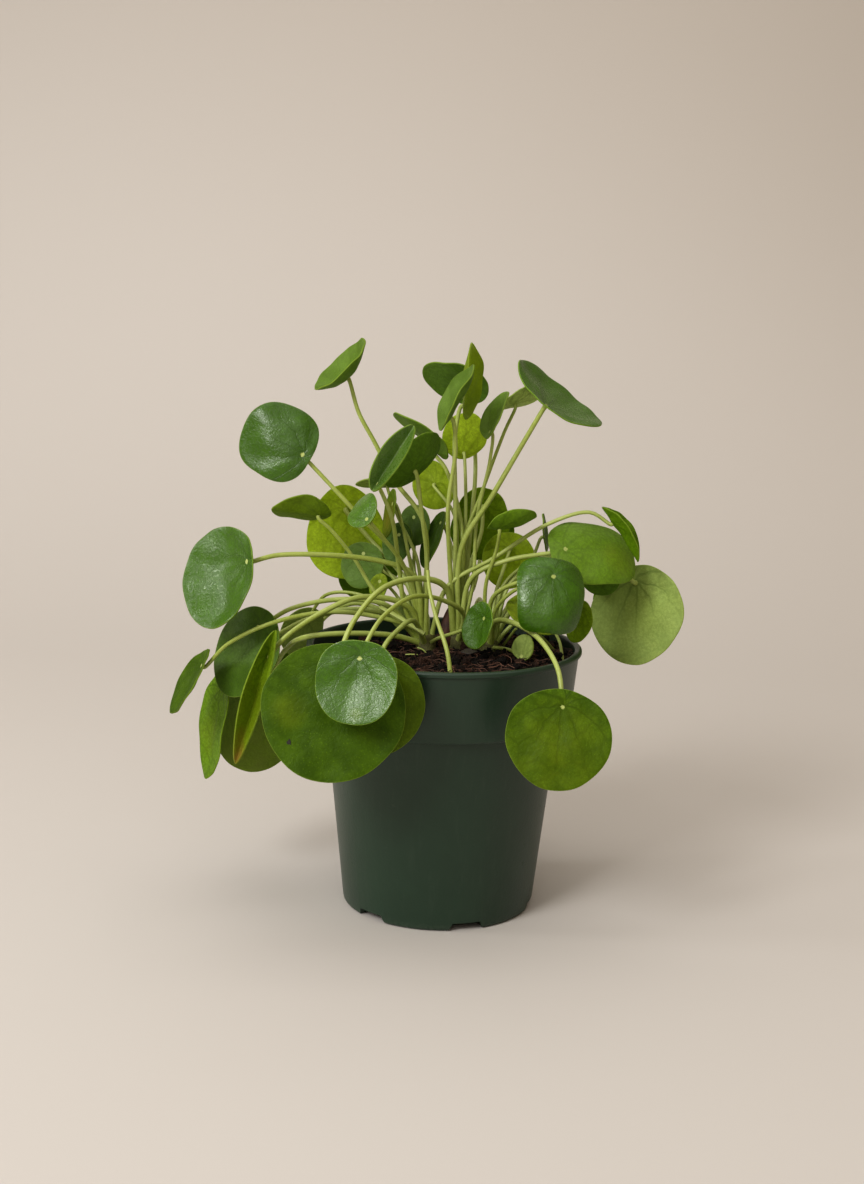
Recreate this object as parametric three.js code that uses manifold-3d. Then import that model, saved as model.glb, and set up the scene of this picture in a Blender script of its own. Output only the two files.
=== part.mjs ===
// A potted pilea: round shield-shaped leaves on long arching stalks, rising from three short stems
// that stand in potting mix, in a plain green nursery pot with a stepped rim band.
// Millimetres, +Z up. The origin is the middle of the pot's underside, and the plant's front is at -Y.

import * as THREE from 'three';
import { mergeVertices } from 'three/addons/utils/BufferGeometryUtils.js';
import Module from 'manifold-3d';

const wasm = await Module();
wasm.setup();

// Clearance between pieces that touch
const GAP = 0.3;

// Points nearer than this are one point
const WELD = 1e-4;

// Pot
const POT_HEIGHT = 147;
const RIM_RADIUS = 76;
const LIP_HEIGHT = 2.6;
const LIP_SLOPE = 1.2;
const BAND_RADIUS = 74.4;
const BAND_FOOT_RADIUS = 71;
const BAND_FOOT_Z = 109.4;
const STEP_Z = 107.5;
const STEP_SLOPE = 0.6;
const EDGE_ROUNDING = 0.8;
const BODY_TOP_RADIUS = 64.8;
const BASE_RADIUS = 53.5;
const FOOT_ROUNDING = 1.5;
const WALL = 2;
const FLOOR = 3;
const POT_SIDES = 48;

// Drain notches, cut through the foot where the wall meets the floor
const NOTCH_COUNT = 6;
const NOTCH_WIDTH = 17;
const NOTCH_TOP_WIDTH = 12;
const NOTCH_HEIGHT = 4.5;
const NOTCH_INNER_RADIUS = 44;
const NOTCH_OUTER_RADIUS = 60;
const FIRST_NOTCH = 17;
const NOTCH_BELOW = 1;

// Potting mix, higher at the front right than at the back left
const SOIL_MIDDLE_Z = 139;
const SOIL_RISE_TO_RIGHT = 0.06;
const SOIL_RISE_TO_FRONT = 0.04;
const SOIL_ROUGHNESS = 1.5;
const SOIL_EDGE_ROUGHNESS = 0.3;
const SOIL_EDGE_Z = 130;
const SOIL_SPREAD = 68;
const SOIL_RINGS = 7;
const SOIL_SIDES = 40;
const SOIL_SEED = 11;

// How far the planting holes reach above the rim
const HOLE_ABOVE = 10;

// Stems: where each stands and how high it rises
const STEM_RADIUS = 7;
const STEM_TOP_RADIUS = 5.4;
const STEM_FOOT_Z = 116;
const STEM_SIDES = 10;
const STEMS = {
  left: { x: -10, y: 8, top: 150 },
  middle: { x: 7, y: 9, top: 152 },
  right: { x: 25, y: 3, top: 148 },
};

// Leaf stalks
const STALK_ROOT_RADIUS = 2.1;
const STALK_TIP_RADIUS = 1.5;
const STALK_SIDES = 6;
const STALK_STRIDE = 1.5;
const STALK_LONGEST_STEP = 45;
const STALK_MOST_TURN = 24;
const STALK_REACH = 4;
const STALK_GAP = 0.4;
const STALK_SPREAD = 2.6;

// A stalk that has lost its leaf, planted by itself near the front rim
const BARE_STALK = [
  [3, -62, 129], [3, -62, 136], [3, -62, 143], [1, -59, 155], [-5, -51, 171], [-9, -44, 185], [-10, -41, 194],
];
const BARE_STALK_PLANTED = 14;

// Leaf blades
const BLADE_THICKNESS = 0.9;
const RIM_POINTS = 18;
const INNER_RING = 0.55;
const EGG_SHAPE = 0.06;
const CREASE_ROUNDING = 2;
const WAVES = 3;
const SLOPE_STEP = 0.2;

// Finishes
const POT_FINISH = { color: 0x2b4538, roughness: 0.42 };
const SOIL_FINISH = { color: 0x35241c, roughness: 0.95 };
const STALK_FINISH = { color: 0x8fa64a, roughness: 0.5 };
const BARE_STALK_FINISH = { color: 0xa6bf62, roughness: 0.5 };
const LEAF_FINISHES = {
  glossy: { color: 0x2f6a2b, roughness: 0.35 },
  mid: { color: 0x4c7f26, roughness: 0.45 },
  olive: { color: 0x5f7c22, roughness: 0.5 },
  lime: { color: 0x87a92c, roughness: 0.5 },
  pale: { color: 0x8fae5a, roughness: 0.6 },
  dark: { color: 0x355a1d, roughness: 0.5 },
};

// Leaves. at is where the stalk meets the blade. turn and rise say which way the upper side faces:
// turn 0 is the front and 90 the right, rise 90 is straight up. tip is the way the long axis runs
// in the blade: 0 is down the slope, 90 to the right, 180 up it. off is the part of the length that
// lies behind the stalk. fold turns the two sides up and curl the two ends; crease makes the fold
// sharp, wave ripples the edge, and egg is how much wider the end behind the stalk is than the tip.
// The stalk leaves the stem from at the height root, passes the points via, and meets the blade
// from below over the distance reach.
const LEAVES = [
  { name: 'top_left', finish: 'mid', at: [-57, 10, 291], turn: -70, rise: 48, tip: 180, long: 43,
    wide: 38, off: 0.45, fold: 90, curl: 92, from: 'left', root: 148,
    via: [[-13, 7, 212], [-30, 8, 236], [-41, 9, 256], [-50, 9, 272]] },
  { name: 'high_left', finish: 'glossy', at: [-79, -10, 250], turn: 0, rise: 14, tip: -118, long: 41,
    wide: 41, off: 0.13, fold: -12, curl: -10, wave: 0.8, from: 'left', root: 147,
    via: [[-24, 2, 190], [-52, -4, 221]] },
  { name: 'level_left', finish: 'olive', at: [-71, 5, 216], turn: -170, rise: 58, tip: 95, long: 33,
    wide: 30, off: 0.22, fold: 60, curl: 10, from: 'left', root: 145,
    via: [[-39, 7, 173], [-51, 6, 192], [-64, 4, 208]] },
  { name: 'shiny_left', finish: 'glossy', at: [-107, -20, 193], turn: -46, rise: 18, tip: -58,
    long: 55, wide: 57, off: 0.13, fold: -10, curl: 8, egg: -0.12, from: 'left', root: 146,
    via: [[-18, 1, 184], [-36, -2, 192], [-90, -15, 196]] },
  { name: 'back_left', finish: 'lime', at: [-58, 46, 214], turn: 178, rise: 8, tip: -2, long: 56,
    wide: 46, off: 0.26, fold: -10, curl: -8, egg: -0.2, from: 'left', root: 145,
    via: [[-22, 26, 176], [-44, 41, 198]] },
  { name: 'glossy_fold', finish: 'glossy', at: [-38, -25, 237], turn: -6, rise: 14, tip: 150,
    long: 41, wide: 24, off: 0.12, fold: 115, crease: true, from: 'left', root: 145,
    via: [[-22, 3, 165], [-26, -3, 190], [-30, -13, 217]] },
  { name: 'dark_under', finish: 'dark', at: [-19, -8, 243], turn: -135, rise: 36, tip: -142, long: 42,
    wide: 33, off: 0.42, fold: 70, curl: 70, from: 'left', root: 149,
    via: [[-11, 2, 195], [-14, -6, 218]] },
  { name: 'edge_top_left', finish: 'mid', at: [-7, 22, 251], turn: 115, rise: 50, tip: 180, long: 40,
    wide: 32, off: 0.17, fold: 40, reach: 3, from: 'middle', root: 151,
    via: [[9, 10, 200], [6, 16, 220], [-2, 21, 242]] },
  { name: 'small_shiny', finish: 'glossy', at: [-43, -32, 219], turn: -40, rise: 30, tip: -130,
    long: 24, wide: 20, off: 0.15, fold: 10, curl: -40, from: 'left', root: 145,
    via: [[-17, 2, 175], [-26, -10, 195]] },
  { name: 'pale_tip', finish: 'pale', at: [-34, 28, 231], turn: -170, rise: 70, tip: 95, long: 26,
    wide: 20, off: 0.3, fold: 20, from: 'left', root: 146, via: [[-16, 14, 190], [-28, 25, 214]] },
  { name: 'brown_strip', finish: 'olive', at: [-31, 12, 222], turn: -75, rise: 10, tip: 0, long: 28,
    wide: 20, off: 0.3, fold: 10, from: 'left', root: 145, via: [[-19, 10, 185]] },
  { name: 'dark_behind_high', finish: 'dark', at: [-19, 35, 212], turn: -30, rise: 15, tip: 20,
    long: 24, wide: 20, off: 0.3, fold: 10, from: 'left', root: 145, via: [[-18, 28, 185]] },
  { name: 'dark_behind_low', finish: 'dark', at: [-27, 26, 203], turn: -25, rise: 20, tip: 0,
    long: 24, wide: 19, off: 0.3, fold: 10, from: 'left', root: 145, via: [[-16, 18, 178]] },
  { name: 'round_behind_left', finish: 'dark', at: [-47, 31, 191], turn: -20, rise: 12, tip: 0,
    long: 27, wide: 26, off: 0.25, fold: -8, from: 'left', root: 145,
    via: [[-24, 26, 170], [-38, 32, 186]] },
  { name: 'bright_low_left', finish: 'lime', at: [-37, 15, 178], turn: -30, rise: 20, tip: 0,
    long: 15, wide: 12, off: 0.3, fold: 10, from: 'left', root: 145,
    via: [[-22, 18, 162], [-31, 22, 173]] },
  { name: 'grey_low', finish: 'pale', at: [-23, 34, 160], turn: -20, rise: 35, tip: 10, long: 20,
    wide: 16, off: 0.3, fold: 15, from: 'left', root: 145, via: [[-14, 30, 152], [-18, 39, 153]] },

  { name: 'back_top', finish: 'dark', at: [8, 40, 288], turn: 152, rise: 48, tip: 100, long: 40,
    wide: 36, off: 0.36, fold: -10, from: 'middle', root: 150, via: [[13, 20, 205], [15, 40, 248]] },
  { name: 'grey_top', finish: 'mid', at: [-1, -26, 273], turn: -76, rise: 34, tip: 180, long: 39,
    wide: 32, off: 0.22, fold: 85, curl: 25, from: 'middle', root: 152,
    via: [[2, 1, 190], [0, -12, 225], [3, -20, 256]] },
  { name: 'upright_top', finish: 'lime', at: [8, 8, 277], turn: 72, rise: 4, tip: 180, long: 42,
    wide: 32, off: 0.18, fold: 80, curl: 20, from: 'middle', root: 151,
    via: [[5, 8, 190], [4, 9, 226], [3, 9, 262]] },
  { name: 'lime_top', finish: 'lime', at: [8, 30, 250], turn: -165, rise: 25, tip: 180, long: 27,
    wide: 26, off: 0.15, fold: 30, curl: 30, from: 'middle', root: 149,
    via: [[10, 14, 190], [10, 20, 225]] },
  { name: 'cup_top', finish: 'mid', at: [21, 0, 264], turn: -70, rise: 25, tip: 180, long: 28,
    wide: 24, off: 0.15, fold: 50, from: 'middle', root: 150,
    via: [[15, 5, 180], [16, 5, 215], [22, 1, 248]] },
  { name: 'light_top_right', finish: 'pale', at: [35, 18, 279], turn: -138, rise: 52, tip: -95,
    long: 28, wide: 24, off: 0.28, fold: 70, curl: 20, from: 'middle', root: 148,
    via: [[9, 10, 200], [18, 12, 228], [30, 15, 263]] },
  { name: 'top_right', finish: 'glossy', at: [51, -10, 280], turn: 70, rise: 53, tip: 95, long: 48,
    wide: 58, off: 0.15, fold: 45, curl: 15, from: 'middle', root: 152,
    via: [[8, 2, 200], [23, -2, 228], [41, -7, 262]] },
  { name: 'lime_behind', finish: 'lime', at: [-7, 36, 231], turn: 150, rise: 10, tip: 60, long: 28,
    wide: 28, off: 0.42, fold: 10, from: 'middle', root: 147, via: [[6, 18, 190], [4, 26, 215]] },
  { name: 'dark_middle', finish: 'dark', at: [-4, 29, 210], turn: -60, rise: 22, tip: 0, long: 34,
    wide: 18, off: 0.2, fold: 45, from: 'middle', root: 149, via: [[5, 17, 188]] },
  { name: 'olive_behind', finish: 'olive', at: [21, 48, 218], turn: 165, rise: 15, tip: 5, long: 45,
    wide: 32, off: 0.25, fold: -10, from: 'middle', root: 146, via: [[12, 24, 180], [20, 38, 205]] },

  { name: 'light_level_right', finish: 'mid', at: [28, -8, 213], turn: -170, rise: 68, tip: -95,
    long: 28, wide: 30, off: 0.23, fold: 100, curl: 40, from: 'right', root: 146,
    via: [[22, 0, 180], [27, -3, 200]] },
  { name: 'thin_edge_right', finish: 'dark', at: [55, 18, 205], turn: 78, rise: 10, tip: 180,
    long: 22, wide: 14, off: 0.4, fold: 10, from: 'right', root: 145,
    via: [[32, 10, 178], [48, 15, 194]] },
  { name: 'large_behind', finish: 'lime', at: [37, 42, 194], turn: 168, rise: 5, tip: 8, long: 34,
    wide: 31, off: 0.3, fold: -10, from: 'right', root: 145, via: [[28, 18, 170], [34, 31, 188]] },
  { name: 'broad_right', finish: 'mid', at: [65, -5, 202], turn: 15, rise: 42, tip: 88, long: 50,
    wide: 40, off: 0.17, fold: -15, curl: -15, from: 'middle', root: 150,
    via: [[14, 3, 183], [33, -1, 194], [50, -3, 198]] },
  { name: 'folded_right', finish: 'mid', at: [91, 2, 216], turn: 75, rise: 35, tip: 0, long: 36,
    wide: 22, off: 0.3, fold: 85, crease: true, reach: 3, from: 'left', root: 148,
    via: [[1, 3, 178], [26, 6, 194], [56, 7, 214], [78, 5, 221]] },
  { name: 'pale_right', finish: 'pale', at: [108, 25, 179], turn: 141, rise: -12, tip: -12, long: 57,
    wide: 60, off: 0.18, fold: -8, curl: -6, from: 'right', root: 145,
    via: [[34, 12, 178], [61, 17, 195], [92, 22, 190]] },
  { name: 'under_right', finish: 'dark', at: [84, 15, 188], turn: 170, rise: 25, tip: -20, long: 26,
    wide: 23, off: 0.3, fold: 10, from: 'right', root: 145, via: [[38, 10, 182], [68, 13, 187]] },
  { name: 'shiny_right', finish: 'glossy', at: [56, -40, 192], turn: 12, rise: 22, tip: -6, long: 40,
    wide: 36, off: 0.28, fold: -20, curl: -15, from: 'right', root: 145,
    via: [[25, -6, 172], [31, -16, 181], [43, -29, 188]] },
  { name: 'narrow_right', finish: 'olive', at: [74, -10, 170], turn: 140, rise: 0, tip: 14, long: 25,
    wide: 17, off: 0.2, fold: 10, from: 'right', root: 145,
    via: [[28, 2, 166], [43, -2, 180], [61, -9, 176]] },
  { name: 'under_shiny_right', finish: 'lime', at: [47, 2, 165], turn: 20, rise: 50, tip: 55,
    long: 34, wide: 28, off: 0.4, fold: 25, from: 'right', root: 145, via: [[37, 3, 157]] },
  { name: 'small_dark_front', finish: 'glossy', at: [20, -35, 168], turn: -58, rise: 16, tip: -30,
    long: 26, wide: 25, off: 0.3, fold: 15, from: 'left', root: 145,
    via: [[-3, -2, 150], [8, -17, 157]] },
  { name: 'on_soil', finish: 'pale', at: [41, -30, 147], turn: -30, rise: 10, tip: 170, long: 14,
    wide: 13, off: 0.15, fold: 40, reach: 2.5, from: 'right', root: 145, via: [[35, -14, 147]] },
  { name: 'front_right', finish: 'mid', at: [60, -80, 132], turn: 2, rise: 17, tip: -8, long: 51,
    wide: 54, off: 0.18, fold: 6, from: 'right', root: 146,
    via: [[27, -9, 161], [36, -24, 164], [49, -46, 160], [58, -68, 148]] },

  { name: 'dark_left', finish: 'dark', at: [-103, -3, 154], turn: -38, rise: 20, tip: -15, long: 52,
    wide: 46, off: 0.2, fold: -8, from: 'left', root: 145,
    via: [[-32, 5, 166], [-57, 5, 169], [-86, 3, 163]] },
  { name: 'far_left', finish: 'mid', at: [-133, -12, 133], turn: -72, rise: 22, tip: -6, long: 42,
    wide: 34, off: 0.25, fold: 65, curl: 30, from: 'left', root: 146,
    via: [[-14, 2, 153], [-34, 0, 160], [-62, -7, 164], [-93, -16, 159], [-118, -15, 146]] },
  { name: 'long_left', finish: 'mid', at: [-124, 12, 115], turn: -62, rise: 8, tip: -6, long: 66,
    wide: 40, off: 0.18, fold: 35, from: 'left', root: 145,
    via: [[-30, 14, 159], [-62, 16, 160], [-98, 18, 142]] },
  { name: 'low_left', finish: 'olive', at: [-105, 31, 106], turn: -165, rise: 5, tip: 5, long: 58,
    wide: 52, off: 0.2, fold: -6, from: 'left', root: 145,
    via: [[-31, -2, 151], [-73, -16, 152], [-88, 4, 140]] },
  { name: 'folded_left', finish: 'olive', at: [-94, -34, 144], turn: -3, rise: 14, tip: -14, long: 74,
    wide: 26, off: 0.2, fold: 128, crease: true, from: 'left', root: 147,
    via: [[-20, 2, 166], [-45, -8, 173], [-66, -18, 166], [-86, -30, 153]] },
  { name: 'pale_behind_left', finish: 'pale', at: [-80, 30, 152], turn: -140, rise: 12, tip: 0,
    long: 30, wide: 30, off: 0.25, fold: 10, from: 'left', root: 145,
    via: [[-27, 12, 159], [-49, 22, 169], [-68, 27, 167]] },
  { name: 'big_front_left', finish: 'mid', at: [-53, -86, 153], turn: 3, rise: 18, tip: -6, long: 69,
    wide: 72, off: 0.14, fold: 6, curl: 4, from: 'middle', root: 150,
    via: [[0, -1, 178], [-14, -14, 185], [-33, -35, 183], [-47, -60, 170], [-52, -76, 159]] },
  { name: 'shiny_front', finish: 'glossy', at: [-42, -103, 160], turn: -8, rise: 20, tip: -3,
    long: 41, wide: 40, off: 0.2, fold: -10, curl: -10, from: 'middle', root: 146,
    via: [[10, -8, 165], [-1, -24, 175], [-17, -48, 181], [-31, -74, 176], [-38, -93, 168]] },
  { name: 'behind_front_left', finish: 'olive', at: [-33, -80, 148], turn: 0, rise: 6, tip: 2,
    long: 50, wide: 46, off: 0.16, fold: 6, from: 'left', root: 145,
    via: [[-17, -16, 162], [-26, -44, 161], [-32, -67, 156]] },

  { name: 'rear_high', finish: 'mid', at: [22, 74, 208], turn: 175, rise: 30, tip: 5, long: 44,
    wide: 38, off: 0.25, fold: -10, from: 'middle', root: 145,
    via: [[12, 26, 166], [17, 50, 171], [21, 68, 188]] },
  { name: 'rear_left', finish: 'mid', at: [-44, 76, 184], turn: -155, rise: 22, tip: 0, long: 42,
    wide: 40, off: 0.25, fold: -10, from: 'left', root: 145,
    via: [[-19, 36, 170], [-30, 54, 174], [-40, 70, 178]] },
  { name: 'rear_right', finish: 'mid', at: [104, 66, 166], turn: 135, rise: 18, tip: 0, long: 44,
    wide: 42, off: 0.22, fold: -8, from: 'right', root: 145,
    via: [[40, 26, 164], [62, 48, 174], [90, 62, 173]] },
  { name: 'rear_left_low', finish: 'olive', at: [-82, 64, 122], turn: -140, rise: 12, tip: 5,
    long: 46, wide: 44, off: 0.2, fold: 8, from: 'left', root: 145,
    via: [[-28, 24, 156], [-52, 42, 160], [-72, 57, 146]] },
  { name: 'rear_middle_low', finish: 'mid', at: [-30, 98, 122], turn: -165, rise: 15, tip: -5,
    long: 48, wide: 46, off: 0.18, fold: -8, from: 'left', root: 145,
    via: [[-10, 30, 156], [-20, 58, 162], [-28, 86, 146]] },
  { name: 'rear_right_low', finish: 'glossy', at: [24, 99, 116], turn: 165, rise: 14, tip: 5,
    long: 44, wide: 44, off: 0.2, fold: -8, from: 'middle', root: 145,
    via: [[16, 30, 158], [21, 60, 161], [24, 87, 142]] },
  { name: 'rear_far_right', finish: 'olive', at: [52, 86, 128], turn: 150, rise: 15, tip: 0, long: 40,
    wide: 38, off: 0.2, fold: 8, from: 'right', root: 145,
    via: [[33, 24, 159], [42, 50, 163], [50, 76, 147]] },
];

function radians(angle) {
  return THREE.MathUtils.degToRad(angle);
}

// Repeatable random draws between -1 and 1
function seededDraws(seed) {
  let state = seed;
  return () => {
    state = (state * 1664525 + 1013904223) % 4294967296;
    return state / 2147483648 - 1;
  };
}

// The two in-plane directions of a leaf and the way its upper side faces
function leafFrame(leaf) {
  const turn = radians(leaf.turn);
  const rise = radians(leaf.rise);
  const tipAngle = radians(leaf.tip);
  const normal = new THREE.Vector3(
    Math.sin(turn) * Math.cos(rise), -Math.cos(turn) * Math.cos(rise), Math.sin(rise));
  const downSlope = new THREE.Vector3(
    Math.sin(turn) * Math.sin(rise), -Math.cos(turn) * Math.sin(rise), -Math.cos(rise));
  const right = new THREE.Vector3(Math.cos(turn), Math.sin(turn), 0);
  const tip = downSlope.multiplyScalar(Math.cos(tipAngle)).addScaledVector(right, Math.sin(tipAngle));
  const across = new THREE.Vector3().crossVectors(tip, normal);
  return { normal, tip, across };
}

// Bends a straight length: gives how far it still reaches and how far it lifts
function bend(distance, angle, span, creased) {
  if (!angle) {
    return { reach: distance, lift: 0 };
  }
  if (creased) {
    const slope = radians(angle) / 2;
    const rounded = Math.hypot(distance, CREASE_ROUNDING) - CREASE_ROUNDING;
    return { reach: distance * Math.cos(slope), lift: rounded * Math.sin(slope) };
  }
  const curvature = radians(angle) / span;
  const turnedBy = curvature * distance;
  return { reach: Math.sin(turnedBy) / curvature, lift: (1 - Math.cos(turnedBy)) / curvature };
}

// A point of the blade's middle surface, from its place in the flat blade
function bladePoint(leaf, frame, x, y) {
  const sideways = bend(x, leaf.fold, leaf.wide, leaf.crease);
  const lengthways = bend(y, leaf.curl, leaf.long, false);
  const outward = Math.hypot(x / leaf.wide, y / leaf.long) * 2;
  const ripple = (leaf.wave ?? 0) * outward ** 2 * Math.sin(WAVES * Math.atan2(x, y));
  return new THREE.Vector3(...leaf.at)
    .addScaledVector(frame.across, sideways.reach)
    .addScaledVector(frame.tip, lengthways.reach)
    .addScaledVector(frame.normal, sideways.lift + lengthways.lift + ripple);
}

// The blade's outline, slightly egg-shaped, seen from where the stalk meets it
function rimPoint(leaf, angle) {
  const egg = leaf.egg ?? EGG_SHAPE;
  const x = (leaf.wide / 2) * Math.sin(angle) * (1 - egg * Math.cos(angle));
  const y = leaf.long * (0.5 - leaf.off) + (leaf.long / 2) * Math.cos(angle);
  return [x, y];
}

// The two faces of the blade at one point of the flat blade
function bladePair(leaf, frame, x, y) {
  const middle = bladePoint(leaf, frame, x, y);
  const alongX = bladePoint(leaf, frame, x + SLOPE_STEP, y).sub(bladePoint(leaf, frame, x - SLOPE_STEP, y));
  const alongY = bladePoint(leaf, frame, x, y + SLOPE_STEP).sub(bladePoint(leaf, frame, x, y - SLOPE_STEP));
  const normal = alongX.cross(alongY).normalize();
  const half = BLADE_THICKNESS / 2;
  return [middle.clone().addScaledVector(normal, half), middle.clone().addScaledVector(normal, -half)];
}

// A blade: a fan round the stalk, a belt out to the rim, the same below, and the edge between them
function bladeGeometry(leaf) {
  const frame = leafFrame(leaf);
  const innerPoints = RIM_POINTS / 2;
  const flat = [[0, 0]];
  for (let i = 0; i < innerPoints; i += 1) {
    const [x, y] = rimPoint(leaf, (2 * Math.PI * i) / innerPoints);
    flat.push([x * INNER_RING, y * INNER_RING]);
  }
  for (let i = 0; i < RIM_POINTS; i += 1) {
    flat.push(rimPoint(leaf, (2 * Math.PI * i) / RIM_POINTS));
  }
  const pairs = flat.map(([x, y]) => bladePair(leaf, frame, x, y));
  const count = pairs.length;
  const inner = (i) => 1 + (i % innerPoints);
  const rim = (i) => 1 + innerPoints + (i % RIM_POINTS);

  const upper = [];
  for (let i = 0; i < innerPoints; i += 1) {
    upper.push([0, inner(i + 1), inner(i)]);
    upper.push([inner(i), rim(2 * i + 1), rim(2 * i)]);
    upper.push([inner(i), inner(i + 1), rim(2 * i + 1)]);
    upper.push([inner(i + 1), rim(2 * i + 2), rim(2 * i + 1)]);
  }
  const index = [];
  for (const [a, b, c] of upper) {
    index.push(a, b, c);
    index.push(count + a, count + c, count + b);
  }
  for (let i = 0; i < RIM_POINTS; i += 1) {
    index.push(rim(i), rim(i + 1), count + rim(i + 1));
    index.push(rim(i), count + rim(i + 1), count + rim(i));
  }
  return indexedGeometry([...pairs.map((pair) => pair[0]), ...pairs.map((pair) => pair[1])], index);
}

function indexedGeometry(points, index) {
  const geometry = new THREE.BufferGeometry();
  const places = points.flatMap((point) => [point.x, point.y, point.z]);
  geometry.setAttribute('position', new THREE.Float32BufferAttribute(places, 3));
  geometry.setIndex(index);
  return geometry;
}

// Where the rings of a tube go: past its planted foot, then after each stretch that turns or grows enough
function ringStations(curve, planted) {
  const length = curve.getLength();
  const stations = planted ? [0, planted] : [0];
  let ahead = curve.getTangentAt(0);
  for (let along = planted + STALK_STRIDE; along < length - STALK_STRIDE; along += STALK_STRIDE) {
    const tangent = curve.getTangentAt(along / length);
    const turnedEnough = tangent.angleTo(ahead) > radians(STALK_MOST_TURN);
    if (turnedEnough || along - stations.at(-1) > STALK_LONGEST_STEP) {
      stations.push(along);
      ahead = tangent;
    }
  }
  stations.push(length);
  return stations;
}

// A round tapered tube along a curve
function tubeGeometry(curve, planted) {
  const length = curve.getLength();
  const stations = ringStations(curve, planted);
  const points = [];
  const side = new THREE.Vector3(1, 0, 0);
  for (const station of stations) {
    const share = station / length;
    const middle = curve.getPointAt(share);
    const ahead = curve.getTangentAt(share);
    side.addScaledVector(ahead, -side.dot(ahead)).normalize();
    const other = new THREE.Vector3().crossVectors(ahead, side);
    const radius = STALK_ROOT_RADIUS + (STALK_TIP_RADIUS - STALK_ROOT_RADIUS) * share;
    for (let k = 0; k < STALK_SIDES; k += 1) {
      const angle = (2 * Math.PI * k) / STALK_SIDES;
      points.push(middle.clone()
        .addScaledVector(side, radius * Math.cos(angle))
        .addScaledVector(other, radius * Math.sin(angle)));
    }
  }
  const index = [];
  const ring = (i, k) => i * STALK_SIDES + (k % STALK_SIDES);
  const last = stations.length - 1;
  for (let i = 0; i < last; i += 1) {
    for (let k = 0; k < STALK_SIDES; k += 1) {
      index.push(ring(i, k), ring(i, k + 1), ring(i + 1, k + 1));
      index.push(ring(i, k), ring(i + 1, k + 1), ring(i + 1, k));
    }
  }
  for (let k = 1; k < STALK_SIDES - 1; k += 1) {
    index.push(ring(0, 0), ring(0, k + 1), ring(0, k));
    index.push(ring(last, 0), ring(last, k), ring(last, k + 1));
  }
  return indexedGeometry(points, index);
}

// A leaf's stalk, from inside its stem to just under the blade
function stalkGeometry(leaf) {
  const { normal } = leafFrame(leaf);
  const stem = STEMS[leaf.from];
  const meets = new THREE.Vector3(...leaf.at);
  const below = BLADE_THICKNESS / 2 + STALK_GAP;
  const [firstX, firstY] = leaf.via[0];
  const outward = new THREE.Vector3(firstX - stem.x, firstY - stem.y, 0).setLength(STALK_SPREAD);
  const points = [
    outward.add(new THREE.Vector3(stem.x, stem.y, leaf.root)),
    ...leaf.via.map((point) => new THREE.Vector3(...point)),
    meets.clone().addScaledVector(normal, -below - (leaf.reach ?? STALK_REACH)),
    meets.clone().addScaledVector(normal, -below),
  ];
  const curve = new THREE.CatmullRomCurve3(points, false, 'centripetal');
  return tubeGeometry(curve, 0);
}

function stemGeometry(stem) {
  const height = stem.top - STEM_FOOT_Z;
  const geometry = new THREE.CylinderGeometry(STEM_TOP_RADIUS, STEM_RADIUS, height, STEM_SIDES);
  geometry.rotateX(Math.PI / 2);
  geometry.translate(stem.x, stem.y, STEM_FOOT_Z + height / 2);
  return geometry;
}

// A closed geometry as a solid that can be joined and cut
function solidOf(geometry) {
  const bare = geometry.clone();
  bare.deleteAttribute('normal');
  bare.deleteAttribute('uv');
  const merged = mergeVertices(bare, WELD);
  return new wasm.Manifold(new wasm.Mesh({
    numProp: 3,
    vertProperties: new Float32Array(merged.attributes.position.array),
    triVerts: new Uint32Array(merged.index.array),
  }));
}

function geometryOf(solid) {
  const mesh = solid.getMesh();
  const geometry = new THREE.BufferGeometry();
  geometry.setAttribute('position', new THREE.BufferAttribute(new Float32Array(mesh.vertProperties), 3));
  geometry.setIndex(new THREE.BufferAttribute(new Uint32Array(mesh.triVerts), 1));
  return geometry;
}

// Stems and stalks grow as one piece
function stalksGeometry() {
  let plant = null;
  for (const stem of Object.values(STEMS)) {
    const solid = solidOf(stemGeometry(stem));
    plant = plant ? plant.add(solid) : solid;
  }
  for (const leaf of LEAVES) {
    plant = plant.add(solidOf(stalkGeometry(leaf)));
  }
  return geometryOf(plant);
}

function bareStalkGeometry() {
  const curve = new THREE.CatmullRomCurve3(
    BARE_STALK.map((point) => new THREE.Vector3(...point)), false, 'centripetal');
  return tubeGeometry(curve, BARE_STALK_PLANTED);
}

// Turns a profile of radius and height, which runs from the axis up the outside and back, into a solid
function turned(profile, sides) {
  const geometry = new THREE.LatheGeometry(profile.map(([r, z]) => new THREE.Vector2(r, z)), sides);
  geometry.rotateX(Math.PI / 2);
  return geometry;
}

// The wedge that one drain notch takes out of the pot's foot
function notchGeometry(turn) {
  const half = NOTCH_WIDTH / 2;
  const topHalf = NOTCH_TOP_WIDTH / 2;
  const outline = new THREE.Shape([
    new THREE.Vector2(-half, -NOTCH_BELOW),
    new THREE.Vector2(half, -NOTCH_BELOW),
    new THREE.Vector2(half, 0),
    new THREE.Vector2(topHalf, NOTCH_HEIGHT),
    new THREE.Vector2(-topHalf, NOTCH_HEIGHT),
    new THREE.Vector2(-half, 0),
  ]);
  const depth = NOTCH_OUTER_RADIUS - NOTCH_INNER_RADIUS;
  const geometry = new THREE.ExtrudeGeometry(outline, { depth, bevelEnabled: false });
  geometry.rotateX(Math.PI / 2);
  geometry.translate(0, -NOTCH_INNER_RADIUS, 0);
  geometry.rotateZ(radians(turn));
  return geometry;
}

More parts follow.
